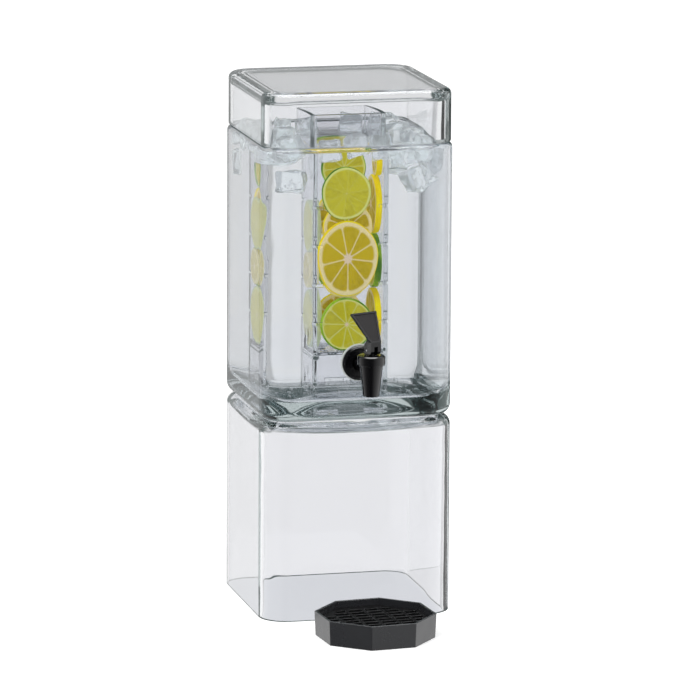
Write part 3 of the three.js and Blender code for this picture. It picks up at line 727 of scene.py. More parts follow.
class DISPENSER_OT_tank(bpy.types.Operator):
    """Moulds the tank: thick walls, a domed underside, a round shoulder and the tap's hole"""
    bl_idname = "dispenser.tank"
    bl_label = "Tank"

    def execute(self, context):
        s = context.scene.dispenser_shells
        foot, top = TANK_LOW.z, TANK_HIGH.z
        inner, edge = TOWER_HALF - s.tank_wall, s.rim_round
        fillet = s.tank_inner_fillet
        vertices, faces = loft([
            *bowl(TOWER_HALF - s.tank_fillet - s.seat_margin, foot, s.tank_dome),
            *arc(TOWER_HALF - s.tank_fillet, foot + s.tank_fillet, s.tank_fillet, -1, 0),
            *arc(TOWER_HALF - s.shoulder_radius, top - s.shoulder_radius, s.shoulder_radius, 0, 1),
            *arc(inner + edge, top - edge, edge, 1, 2),
            *waved(arc(inner - fillet, foot + s.tank_floor + fillet, fillet, 0, -1)),
            (inner - fillet - FLAT_EDGE, foot + s.tank_floor), (0, foot + s.tank_floor),
        ])
        made = piece("tank_shell", vertices, faces, [moulded_acrylic()])
        tap = context.scene.dispenser_tap
        outside = TANK_LOW.y - tap_point().y - s.tank_wall
        drill = turned("drill", rod(tap.shank + tap.gap, 4 * s.tank_wall), [],
                       tap_matrix() @ along_shank(outside), 64)
        combine(made, drill, "DIFFERENCE")
        smooth(made.data, 30)
        placed(made, "tank", "clear_acrylic", "reservoir")
        return {"FINISHED"}


class DISPENSER_OT_lid(bpy.types.Operator):
    """Moulds the lid: a thick hollow cap with a lip that goes down into the tank"""
    bl_idname = "dispenser.lid"
    bl_label = "Lid"

    def execute(self, context):
        s = context.scene.dispenser_shells
        half = (LID_HIGH.x - LID_LOW.x) / 2
        foot, top = LID_LOW.z + s.lip_depth, LID_HIGH.z
        inner, edge = half - s.lid_wall, s.rim_round
        lip = TOWER_HALF - s.tank_wall - s.lip_gap
        ceiling = top - s.lid_panel
        vertices, faces = loft([
            (0, ceiling), (inner - s.lid_inner_fillet - FLAT_EDGE, ceiling),
            *waved(arc(inner - s.lid_inner_fillet, ceiling - s.lid_inner_fillet, s.lid_inner_fillet, 1, 0)),
            *arc(inner + edge, LID_LOW.z + edge, edge, 2, 3),
            *arc(lip - edge, LID_LOW.z + edge, edge, 3, 4),
            (lip, foot),
            *arc(half - s.lid_edge, foot + s.lid_edge, s.lid_edge, -1, 0),
            *arc(half - s.lid_fillet, top - s.lid_fillet, s.lid_fillet, 0, 1),
            (half - s.lid_fillet - FLAT_EDGE, top), (0, top),
        ])
        made = piece("lid_shell", vertices, faces, [moulded_acrylic()])
        placed(made, "lid", "clear_acrylic", "lid")
        return {"FINISHED"}


# The infusion tube and its perforated shelf


def perforated_plate():
    """A node tree that drills a square plate with rows of round holes."""
    tree, given = new_tree("perforated_plate", {
        "Plate": "Geometry", "Width": "Float", "Depth": "Float", "Hole Radius": "Float", "Rows": "Int",
        "Middle": "Vector"})
    gaps = add_node(tree, "ShaderNodeMath", {0: given["Rows"], 1: 1.0}, operation="SUBTRACT")
    part = add_node(tree, "ShaderNodeMath", {0: gaps, 1: given["Rows"]}, operation="DIVIDE")
    reach = add_node(tree, "ShaderNodeMath", {0: part, 1: given["Width"]}, operation="MULTIPLY")
    grid = add_node(tree, "GeometryNodeMeshGrid", {
        "Size X": reach, "Size Y": reach, "Vertices X": given["Rows"], "Vertices Y": given["Rows"]})
    drill = add_node(tree, "GeometryNodeMeshCylinder", {
        "Vertices": 40, "Radius": given["Hole Radius"], "Depth": given["Depth"]})
    spots = add_node(tree, "GeometryNodeInstanceOnPoints", {"Points": grid, "Instance": drill})
    moved = add_node(tree, "GeometryNodeTransform", {"Geometry": spots, "Translation": given["Middle"]})
    tools = add_node(tree, "GeometryNodeRealizeInstances", {0: moved})
    cut = add_node(tree, "GeometryNodeMeshBoolean", {
        "Mesh 1": given["Plate"], "Mesh 2": tools}, operation="DIFFERENCE", solver="EXACT")
    return end_tree(tree, cut, given)


def water_level():
    return TANK_HIGH.z - bpy.context.scene.dispenser_water.headroom


class DISPENSER_OT_tube(bpy.types.Operator):
    """Makes the clear infusion tube, wetted up to the water's level, and its drilled shelf"""
    bl_idname = "dispenser.tube"
    bl_label = "Infusion tube"

    def execute(self, context):
        s = context.scene.dispenser_tube
        dry, wet = moulded_acrylic(), wetted_acrylic()
        tube = bake(copied("infusion_tube", "tube_shell", [dry, wet], s.edge, "infuser", "clear_acrylic", 40))
        work = bmesh.new()
        work.from_mesh(tube.data)
        level = Vector((0, 0, water_level()))
        bmesh.ops.bisect_plane(work, geom=[*work.verts, *work.edges, *work.faces], dist=1e-6,
                               plane_co=level, plane_no=(0, 0, 1))
        for face in work.faces:
            face.material_index = int(face.calc_center_median().z < level.z)
        work.to_mesh(tube.data)
        work.free()
        self.shelf(s, wet)
        return {"FINISHED"}

    def shelf(self, s, material):
        low, high = SHELF_LOW, SHELF_HIGH
        work = bmesh.new()
        bmesh.ops.create_cube(work, size=1, matrix=Matrix.LocRotScale((low + high) / 2, None, high - low))
        plate = new_object("shelf_plate", new_mesh("shelf_plate", work))
        grow(plate, perforated_plate(), {
            "Width": high.x - low.x, "Depth": 2 * (high.z - low.z), "Hole Radius": s.hole_radius,
            "Rows": s.hole_rows, "Middle": tuple((low + high) / 2), "Material": material})
        smooth(plate.data, 30)
        placed(plate, "infuser", "clear_acrylic", "fruit_shelf")


# The fruit

# Rings across a cut face, as shares of its radius.
FACE_SHARES = (0.03, 0.06, 0.09, 0.12, 0.16, 0.22, 0.3, 0.4, 0.5, 0.6, 0.68, 0.74, 0.79, 0.83, 0.86, 0.885,
               0.91, 0.935)
# Points across one segment, as shares of its angle. They crowd at the skins.
SKIN_SHARES = (0.0, 0.03, 0.08, 0.16, 0.3, 0.5, 0.7, 0.84, 0.92, 0.97)
FRUITS = {
    # Shares of the radius, but the skins and pores in metres. The veil is how much flesh shows on a skin.
    "lemon": {"segments": 9, "core": 0.09, "flesh_end": 0.87, "peel_start": 0.975, "skin": 0.32 * MM, "veil": 0.0,
              "old_peel": (0.95, 0.86, 1.0), "pore": 1.3 * MM},
    "lime": {"segments": 10, "core": 0.04, "flesh_end": 0.9, "peel_start": 0.945, "skin": 0.35 * MM, "veil": 0.25,
             "old_peel": (0.22, 0.4, 0.5), "pore": 1.1 * MM},
}
# The top slice is cut near the fruit's end, where its skins hardly show.
END_CUT = {"lime_slice_front_3": {"flesh_end": 0.9, "peel_start": 0.985, "veil": 0.88, "core": 0.0}}
SEGMENT_SPREAD = 0.22  # how much wider or narrower than the others a segment may be
SEGMENT_ROUND = 3 * MM
CORE_STEEP = 1.5  # how much faster the flesh sets in at the core than at the skins
SKIN_BLUR = 0.5 * MM
SWELL = 0.7  # share of the relief that the middle of a segment fills up again
OUT_OF_ROUND = ((0.012, 3), (0.008, 5))  # waves in a slice's radius: their height as a share, and their number
SAC_WIDTH = 1.5 * MM
SAC_LENGTH = 5 * MM
SAC_SHIFT = 7.3  # sacs from one segment's pattern to the next one's


def segment_angles(number, chance):
    """Uneven angles that part a fruit into its segments."""
    widths = [1 + chance.uniform(-SEGMENT_SPREAD, SEGMENT_SPREAD) for _ in range(number)]
    turn = chance.uniform(0, 2 * math.pi)
    angles = [turn]
    for width in widths:
        angles.append(angles[-1] + width / sum(widths) * 2 * math.pi)
    return angles


def flesh_at(r, radius, across, width, kind):
    """How far a spot is into the flesh, from 0 on a skin to 1, with round corners to each segment."""
    side = min(across, 1 - across) * width * r - kind["skin"] / 2
    end = min(kind["flesh_end"] * radius - r, (r - kind["core"] * radius) * CORE_STEEP)
    near = SEGMENT_ROUND
    if side < near and end < near:
        depth = near - math.hypot(near - side, near - end)
    else:
        depth = min(side, end)
    flesh = max(0.0, min(1.0, depth / SKIN_BLUR))
    return flesh if end <= 0 else max(flesh, kind["veil"])


def slice_mesh(name, radius, thickness, kind, chance, s):
    """A slice about the origin, its faces towards +Z and -Z, with what its material reads."""
    number = kind["segments"] + chance.choice((0, 0, 1))
    angles = segment_angles(number, chance)
    tones = [chance.uniform(0.1, 0.9) for _ in range(number)]
    columns = [(a + share * (b - a), share, b - a, i) for i, (a, b) in enumerate(zip(angles, angles[1:]))
               for share in SKIN_SHARES]
    top = [(radius * share, thickness / 2, 1) for share in FACE_SHARES]
    bend = [(radius - s.peel_round * (1 - math.sin(t * QUARTER)),
             thickness / 2 - s.peel_round * (1 - math.cos(t * QUARTER)), 1) for t in (0, 0.3, 0.6, 1)]
    half = [*top, *bend]
    rows = [*half, *[(r, -z, -1) for r, z, side in reversed(half)]]
    vertices = [Vector((0, 0, thickness / 2))]
    values = [(0.0, 0.0, 0.5, 1.0, (0.0, 0.0))]
    for r, z, side in rows:
        for angle, across, width, number_of in columns:
            flesh = flesh_at(r, radius, across, width, kind)
            wobble = 1
            for (height, waves), tone in zip(OUT_OF_ROUND, tones):
                wobble += height * math.sin(waves * angle + tone * 9)
            spot = Vector((r * wobble * math.cos(angle), r * wobble * math.sin(angle), z))
            swell = 4 * across * (1 - across)
            spot.z -= side * s.relief * flesh * (1 - SWELL * swell)
            vertices.append(spot)
            grain = (number_of * SAC_SHIFT + (across - 0.5) * width * r / SAC_WIDTH, r / SAC_LENGTH)
            peel = 1.0 if r >= kind["peel_start"] * radius else 0.0
            core = 1.0 if r < 2 * kind["core"] * radius else 0.0
            values.append((flesh, peel, tones[number_of], core, grain))
    vertices.append(Vector((0, 0, -thickness / 2)))
    values.append(values[0])
    across_all = len(columns)
    faces = []
    for i in range(across_all):
        after = (i + 1) % across_all
        faces.append((0, 1 + i, 1 + after))
        for row in range(len(rows) - 1):
            low, high = 1 + row * across_all, 1 + (row + 1) * across_all
            faces.append((low + after, low + i, high + i, high + after))
        last = 1 + (len(rows) - 1) * across_all
        faces.append((last + after, last + i, len(vertices) - 1))
    mesh = bpy.data.meshes.new(name)
    mesh.from_pydata([tuple(v) for v in vertices], [], faces)
    for index, key in enumerate(("flesh", "peel", "tone", "core")):
        mesh.attributes.new(key, "FLOAT", "POINT").data.foreach_set("value", [v[index] for v in values])
    layer = mesh.uv_layers.new(name="grain")
    for loop in mesh.loops:
        layer.data[loop.index].uv = values[loop.vertex_index][4]
    return mesh


class DISPENSER_OT_fruit(bpy.types.Operator):
    """Cuts every slice of lemon and lime where its plain disc stands"""
    bl_idname = "dispenser.fruit"
    bl_label = "Fruit"

    def execute(self, context):
        s = context.scene.dispenser_fruit
        nodes = [name for name in sorted(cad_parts) if "_slice_" in name]
        for seed, node in enumerate(nodes):
            self.cut(s, seed, node)
        return {"FINISHED"}

    def cut(self, s, seed, node):
        low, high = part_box(node)
        size, fruit = high - low, node.split("_")[0]
        along_y = size.y < size.x
        kind = FRUITS[fruit] | END_CUT.get(node, {})
        radius = max(size.x, size.y) / 2
        name = node + "_cut"
        mesh = slice_mesh(name, radius, min(size.x, size.y), kind, random.Random(seed + 11), s)
        facing = Matrix.Rotation(QUARTER, 4, "X" if along_y else "Y")
        tall = Matrix.Diagonal((1, 1, size.z / 2 / radius, 1))
        mesh.transform(Matrix.Translation((low + high) / 2) @ tall @ facing)
        # Only the slices at the left wall get the painted haze
        pale = s.pale if "_left_" in node else 0.0
        mesh.attributes.new("pale", "FLOAT", "POINT").data.foreach_set("value", [pale] * len(mesh.vertices))
        mesh.materials.append(cut_citrus(fruit))
        smooth(mesh, 60)
        placed(new_object(name, mesh), "infuser", fruit, node)


# The tap


def tap_point():
    """Where the shank's and the spout's axes cross."""
    low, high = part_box("tap_body")
    s = bpy.context.scene.dispenser_tap
    return Vector(((low.x + high.x) / 2, low.y + s.spout_top, low.z + s.spout_drop))


def tap_matrix():
    return Matrix.Translation(tap_point())


def along_shank(start):
    """Turns what is made along Z to run from the spout's axis towards the tank."""
    return Matrix.Translation((0, start, 0)) @ Matrix.Rotation(-QUARTER, 4, "X")


def rod(radius, reach):
    return [(0, 0), (radius, 0), (radius, reach), (0, reach)]


def helix_wire():
    """A node tree that winds a round wire into a coil. It takes nothing from the object that it runs on."""
    tree, given = new_tree("helix_wire", {
        "Unused": "Geometry", "Radius": "Float", "Wire Radius": "Float", "Turns": "Float", "Height": "Float",
        "Foot": "Vector"})
    coil = add_node(tree, "GeometryNodeCurveSpiral", {
        "Resolution": 40, "Rotations": given["Turns"], "Start Radius": given["Radius"],
        "End Radius": given["Radius"], "Height": given["Height"]})
    section = add_node(tree, "GeometryNodeCurvePrimitiveCircle", {
        "Resolution": 14, "Radius": given["Wire Radius"]})
    wire = add_node(tree, "GeometryNodeCurveToMesh", {"Curve": coil, "Profile Curve": section, "Fill Caps": True})
    moved = add_node(tree, "GeometryNodeTransform", {"Geometry": wire, "Translation": given["Foot"]})
    return end_tree(tree, moved, given)


class DISPENSER_OT_tap(bpy.types.Operator):
    """Makes the tap: spout body, bonnet, lever, stem, cup, seals, nut, spring and pin"""
    bl_idname = "dispenser.tap"
    bl_label = "Tap"

    def execute(self, context):
        s = context.scene.dispenser_tap
        black = [glossy_nylon()]
        rubber = [pale_silicone()]
        self.body(s, black)
        self.bonnet(s, black)
        self.lever(s)
        copied("tap_stem", "valve_stem", black, s.edge / 2, "stem", "black_nylon")
        copied("tap_nut", "shank_nut", black, s.edge * 2, "tank", "black_nylon", 40)
        copied("seat_cup", "valve_cup", rubber, s.edge / 2, "valve", "silicone")
        low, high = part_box("tap_flange_gasket")
        hole, thick = s.shank + s.gap, high.y - low.y
        ring = rounded([(hole, 0), (s.seal, 0), (s.seal, thick), (hole, thick)], s.edge)
        seal = turned("flange_seal", ring, rubber, tap_matrix() @ along_shank(low.y - tap_point().y))
        placed(seal, "tank", "silicone", "tap_flange_gasket")
        copied("tap_inner_gasket", "nut_seal", rubber, s.edge, "tank", "silicone", 40)
        steel = [spring_steel()]
        copied("handle_pin", "lever_pin", steel, s.edge / 2, "stem", "steel", 40)
        low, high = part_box("return_spring")
        spring = new_object("valve_spring", bpy.data.meshes.new("valve_spring"))
        wire = s.spring_wire
        grow(spring, helix_wire(), {
            "Radius": (high.x - low.x) / 2 - wire, "Wire Radius": wire, "Turns": float(s.spring_turns),
            "Height": high.z - low.z - 2 * wire, "Material": steel[0],
            "Foot": ((low.x + high.x) / 2, tap_point().y, low.z + wire)})
        smooth(spring.data, 50)
        placed(spring, "tank", "steel", "return_spring")
        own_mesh(spring)
        return {"FINISHED"}

    def lever(self, s):
        made = copied("tap_handle", "tap_lever", [glossy_nylon(), etched_nylon()], s.edge, "handle",
                      "black_nylon", 25)
        # The largest face on the front is the floor of the lever's sunk panel.
        panel = max((face for face in made.data.polygons if face.normal.y < 0), key=lambda face: face.area)
        panel.material_index = 1

    def body(self, s, materials):
        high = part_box("tap_body")[1]
        gasket_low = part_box("tap_flange_gasket")[0]
        face = gasket_low.y - CAD_GAP - s.flange_thickness - tap_point().y
        end = high.y - tap_point().y
        neck_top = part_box("tap_bonnet")[1].z - s.bonnet_plate - CAD_GAP - tap_point().z
        barrel = turned("tap_spout", rounded([
            (0, -s.spout_drop), (s.spout_tip, -s.spout_drop), (s.spout_top, s.spout_rise),
            (s.neck, s.spout_rise), (s.neck, neck_top), (0, neck_top)], s.edge), materials, tap_matrix())
        bead_in, bead_out = s.bead - s.bead_width / 2, s.bead + s.bead_width / 2
        flange = rounded([
            (0, 0), (bead_in - s.bead_height / 2, 0), (bead_in, -s.bead_height), (bead_out, -s.bead_height),
            (bead_out + s.bead_height / 2, 0), (s.flange - s.bead_height, 0), (s.flange, s.bead_height),
            (s.flange, s.flange_thickness), (0, s.flange_thickness)], s.edge)
        arm, shank = rod(s.spout_rise, face + s.flange_thickness / 2), rod(s.shank, end - face)
        chamber = rod(s.chamber, neck_top + s.seat_drop + s.edge)
        bore, way = rod(s.spout_bore, 2 * s.spout_drop), rod(s.shank_bore, 2 * end)
        for outline, place, operation in (
            (arm, along_shank(0), "UNION"),
            (rounded(shank, s.edge), along_shank(face), "UNION"),
            (flange, along_shank(face), "UNION"),
            (chamber, Matrix.Translation((0, 0, -s.seat_drop)), "DIFFERENCE"),
            (bore, Matrix.Translation((0, 0, -1.5 * s.spout_drop - s.seat_drop / 2)), "DIFFERENCE"),
            (way, along_shank(0), "DIFFERENCE"),
        ):
            combine(barrel, turned("tool", outline, materials, tap_matrix() @ place), operation)
        smooth(barrel.data, 30)
        placed(barrel, "tank", "black_nylon", "tap_body")

    def bonnet(self, s, materials):
        low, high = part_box("tap_bonnet")
        radius, reach = (high.x - low.x) / 2, high.z - low.z
        bore, hole = s.neck + CAD_GAP, s.stem + s.gap
        plate = reach - s.bonnet_plate
        matrix = Matrix.Translation(((low.x + high.x) / 2, (low.y + high.y) / 2, low.z))
        outline = [
            (bore, 0), (radius - s.chamfer / 2, 0), (radius, s.chamfer / 2), (radius, reach - s.chamfer),
            (radius - s.chamfer, reach), (hole, reach), (hole, plate), (bore, plate)]
        made = turned("tap_cap", rounded(outline, s.edge), materials, matrix)
        placed(made, "tank", "black_nylon", "tap_bonnet")


# The drip tray and its grid


class DISPENSER_OT_tray(bpy.types.Operator):
    """Rounds the edges of the drip tray and of its slotted grid"""
    bl_idname = "dispenser.tray"
    bl_label = "Drip tray"

    def execute(self, context):
        s = context.scene.dispenser_tray
        black = [satin_abs()]
        copied("drip_tray", "tray_pan", black, s.edge, "tray", "black_abs", 20)
        matt = textured_abs()
        copied("drip_grid", "tray_grid", [matt, *black], s.grid_edge, "grid", "black_abs", 20, edge=1)
        return {"FINISHED"}


# Water, ice and bubbles


def ice_heap():
    """A node tree that puts a cube at each point, turned and sized by chance."""
    tree, given = new_tree("ice_heap", {
        "Points": "Geometry", "Cube": "Object", "Tilt": "Float", "Least Size": "Float", "Seed": "Int"})
    cube = add_node(tree, "GeometryNodeObjectInfo", {"Object": given["Cube"]}).outputs["Geometry"]
    back = add_node(tree, "ShaderNodeMath", {0: given["Tilt"], 1: -1.0}, operation="MULTIPLY")
    low = add_node(tree, "ShaderNodeCombineXYZ", {0: back, 1: back, 2: 0.0})
    high = add_node(tree, "ShaderNodeCombineXYZ", {0: given["Tilt"], 1: given["Tilt"], 2: math.pi})
    turn = add_node(tree, "FunctionNodeRandomValue", {
        0: low, 1: high, "Seed": given["Seed"]}, data_type="FLOAT_VECTOR")
    size = add_node(tree, "FunctionNodeRandomValue", {
        2: given["Least Size"], 3: 1.0, "Seed": given["Seed"]}, data_type="FLOAT")
    heap = add_node(tree, "GeometryNodeInstanceOnPoints", {
        "Points": given["Points"], "Instance": cube, "Rotation": turn, "Scale": size})
    return end_tree(tree, heap, given)


def bubble_skin():
    """A node tree that scatters small bubbles over a surface."""
    tree, given = new_tree("bubble_skin", {
        "Surface": "Geometry", "Spacing": "Float", "Radius": "Float", "Least Size": "Float", "Density": "Float",
        "Seed": "Int"})
    spots = add_node(tree, "GeometryNodeDistributePointsOnFaces", {
        "Mesh": given["Surface"], "Distance Min": given["Spacing"], "Density Max": given["Density"],
        "Seed": given["Seed"]}, distribute_method="POISSON")
    ball = add_node(tree, "GeometryNodeMeshIcoSphere", {"Radius": given["Radius"], "Subdivisions": 2})
    size = add_node(tree, "FunctionNodeRandomValue", {
        2: given["Least Size"], 3: 1.0, "Seed": given["Seed"]}, data_type="FLOAT")
    drops = add_node(tree, "GeometryNodeInstanceOnPoints", {"Points": spots, "Instance": ball, "Scale": size})
    return end_tree(tree, drops, given)


# Ice cubes: where each floats, as shares of the way from the tower's axis to the tank's inner wall, and
# its middle above the water in shares of a cube's side.
ICE_SHARES = (
    (0.72, -0.72, 0.05), (-0.74, -0.71, 0.1), (-0.7, 0.72, 0.0), (0.71, 0.7, 0.12),
    (0.7, -0.7, -1.2), (-0.72, -0.72, -1.15), (0.74, 0.68, -1.1), (-0.72, 0.7, -1.2),
    (0.71, -0.32, 0.0), (-0.72, 0.0, 0.1), (0.3, 0.73, 0.05), (-0.25, 0.72, 0.0),
    (0.28, -0.76, 0.12), (-0.3, -0.76, 0.02), (0.0, -0.77, 0.2), (0.72, 0.2, 0.05), (0.52, -0.75, -0.3),
    (-0.73, 0.38, 0.05), (-0.72, -0.35, -0.1),
)
ICE_TILT = 0.35  # radians
LEAST_CUBE, LEAST_BUBBLE = 0.8, 0.25  # size of the smallest, as a share of the largest
CALM_EDGE = 4 * MM  # still water along the wall
WAVES = 45  # on the water, per metre
BUBBLE_FIELD = 0.75  # of the tank's floor that the bubbles sit on, from the axis outwards


class DISPENSER_OT_water(bpy.types.Operator):
    """Fills the tank with water, ice and a few bubbles"""
    bl_idname = "dispenser.water"
    bl_label = "Water and ice"

    def execute(self, context):
        s, shells = context.scene.dispenser_water, context.scene.dispenser_shells
        inner = TOWER_HALF - shells.tank_wall
        floor = TANK_LOW.z + shells.tank_floor
        self.water(s, shells, inner, floor)
        self.ice(s, inner)
        self.bubbles(s, inner, floor)
        return {"FINISHED"}

    def water(self, s, shells, inner, floor):
        level, fillet, lap = water_level(), shells.tank_inner_fillet, s.overlap
        climb = [(inner + lap - s.climb * 2 * t, level + s.climb * (1 - t) ** 2) for t in (0, 0.25, 0.5, 0.75, 1)]
        vertices, faces = loft([
            (0, floor - lap), (inner - fillet - FLAT_EDGE, floor - lap),
            *waved(arc(inner - fillet, floor + fillet, fillet + lap, -1, 0)),
            *waved(climb[:1]),
            *climb[1:],
            *[(inner * way, level) for way in (0.9, 0.6, 0.3, 0)],
        ])
        for spot in vertices:
            if spot.z > level - lap and off_axis(spot)[1] < inner - CALM_EDGE:
                spot.z += s.wave * noise.noise(spot * WAVES)
        made = piece("water", vertices, faces, [drinking_water()], 60)
        placed(made, "tank")

    def ice(self, s, inner):
        work = bmesh.new()
        bmesh.ops.create_cube(work, size=s.ice_edge)
        bmesh.ops.bevel(work, geom=work.edges[:], offset=s.ice_round, segments=4, profile=0.6, affect="EDGES")
        bmesh.ops.subdivide_edges(work, edges=work.edges[:], cuts=2, use_grid_fill=True)
        mesh = new_mesh("ice_cube", work)
        mesh.shade_smooth()
        cube = new_object("ice_cube", mesh)
        spots = [TOWER + Vector((x * inner, y * inner, water_level() + z * s.ice_edge)) for x, y, z in ICE_SHARES]
        cloud = bpy.data.meshes.new("ice")
        cloud.from_pydata([tuple(spot) for spot in spots], [], [])
        heap = new_object("ice", cloud)
        grow(heap, ice_heap(), {
            "Cube": cube, "Tilt": ICE_TILT, "Least Size": LEAST_CUBE, "Seed": s.ice_seed,
            "Material": clear_ice()})
        bpy.data.objects.remove(cube)
        noise.seed_set(s.ice_seed + 1)  # 0 would stand for the time of day
        for vertex in heap.data.vertices:
            vertex.co += s.ice_melt * noise.noise_vector(vertex.co / s.ice_edge * 2)
        placed(heap, "tank")

    def bubbles(self, s, inner, floor):
        half = BUBBLE_FIELD * inner
        work = bmesh.new()
        bmesh.ops.create_grid(work, x_segments=1, y_segments=1, size=half,
                              matrix=Matrix.Translation(TOWER + Vector((0, 0, floor + s.bubble_radius))))
        made = new_object("bubbles", new_mesh("bubbles", work))
        grow(made, bubble_skin(), {
            "Spacing": 4 * s.bubble_radius, "Radius": s.bubble_radius, "Least Size": LEAST_BUBBLE,
            "Density": s.bubbles / (2 * half) ** 2, "Seed": s.ice_seed, "Material": air_bubble()})
        smooth(made.data, 60)
        placed(made, "tank")


# The stage

CAMERA_PLACE = Vector((-1.17995, -4.73735, 1.20049))  # from the tower's axis on the counter
CAMERA_TARGET = Vector((0, 0, 0.245))
TARGET_PIXEL = (337.64, 335.75)
FOCAL_PIXELS = 5426
CAMERA_ROLL = math.radians(0.305)
SENSOR = 36.0  # millimetres
CLIP = (0.1, 50)
FLOOR_REACH = 20  # metres
STAND_SHADOW_START, STAND_SHADOW_END = 8 * MM, 4 * MM  # the painted shadow on the floor under the stand fades out between these: inside, outside

# The studio round the object: direction in turns from straight behind it, towards its right, and how bright
# it is there. Clear edges see the first, with a dark flag at the right. Light that comes straight from behind
# finds a white wall in front, and the flag is grey through two flat panes. Gloss mirrors the second, which is
# dark round the camera and has bright panels at the sides.
THROUGH_STOPS = (
    (0.0, 0.93), (0.034, 0.99), (0.076, 0.99), (0.09, 0.02), (0.174, 0.02), (0.185, 0.92), (0.22, 0.92),
    (0.26, 0.88), (0.32, 0.45), (0.38, 0.1), (0.56, 0.1), (0.61, 0.6), (0.7, 0.65), (0.8, 0.8), (0.86, 0.9),
    (0.93, 1.0), (1.0, 0.93),
)
MIRROR_STOPS = (
    (0.0, 0.35), (0.03, 0.35), (0.05, 0.35), (0.065, 0.05), (0.15, 0.05), (0.19, 1.0), (0.3, 0.9), (0.4, 0.5),
    (0.455, 0.27), (0.48, 0.15), (0.5, 0.06), (0.54, 0.02), (0.6, 0.03), (0.7, 0.12), (0.78, 0.5),
    (0.88, 0.9), (0.91, 0.9), (0.935, 0.52), (0.975, 0.52), (1.0, 0.35),
)
PANES_GREY = 0.6  # least brightness of the flag through two flat panes, one behind the other
PANES_SEEN = (3.0, 4.0)  # surfaces that light has gone through by then
STRAIGHT_GREY = 0.93  # of the wall in front, for light that goes straight through the object
STRAIGHT_AHEAD = (-0.6, -0.2)  # how far towards the front such a ray goes, from all of the wall to none of it
# Heights in the studio, as parts of a unit ray: where the walls give way to a depth of clear floor, that to the
# sky, gloss to the white roof, and the roof to the lamp overhead.
DEPTH_RISE, SKY_RISE, ROOF_RISE, LAMP_RISE = (0.1, 0.17), (0.42, 0.62), (0.78, 0.88), (0.84, 0.95)
SKY = (0.8, 0.8, 0.8, 1)
WHITE = (1, 1, 1, 1)
THROUGH_POWER = 1.08
MIRROR_POWER = 1.35
OVERHEAD_POWER = 8.0
CLEAR_BOUNCES = 256  # light runs to and fro many times in the thick clear floors before it comes out
LAMPS = {  # place, size and watts
    "key_softbox": ((-1.6, -1.4, 2.2), 1.4, 34),
    "fill_softbox": ((1.8, -1.2, 1.6), 1.2, 8),
}


def studio_round(tree, way, stops):
    """How bright the studio is in a direction, from black to white."""
    turn = add_node(tree, "ShaderNodeMath", {0: way["X"], 1: way["Y"]}, operation="ARCTAN2")
    turns = add_node(tree, "ShaderNodeMath", {0: turn, 1: 1 / (2 * math.pi)}, operation="MULTIPLY")
    whole = add_node(tree, "ShaderNodeMath", {0: turns, 1: 1.0, 2: 0.0}, operation="WRAP")
    ramp = add_node(tree, "ShaderNodeValToRGB", {0: whole})
    marks = ramp.color_ramp.elements
    for i, (position, grey) in enumerate(stops):
        mark = marks[0] if i == 0 else marks[-1] if i == len(stops) - 1 else marks.new(position)
        mark.position = position
        mark.color = (grey, grey, grey, 1)
    return ramp


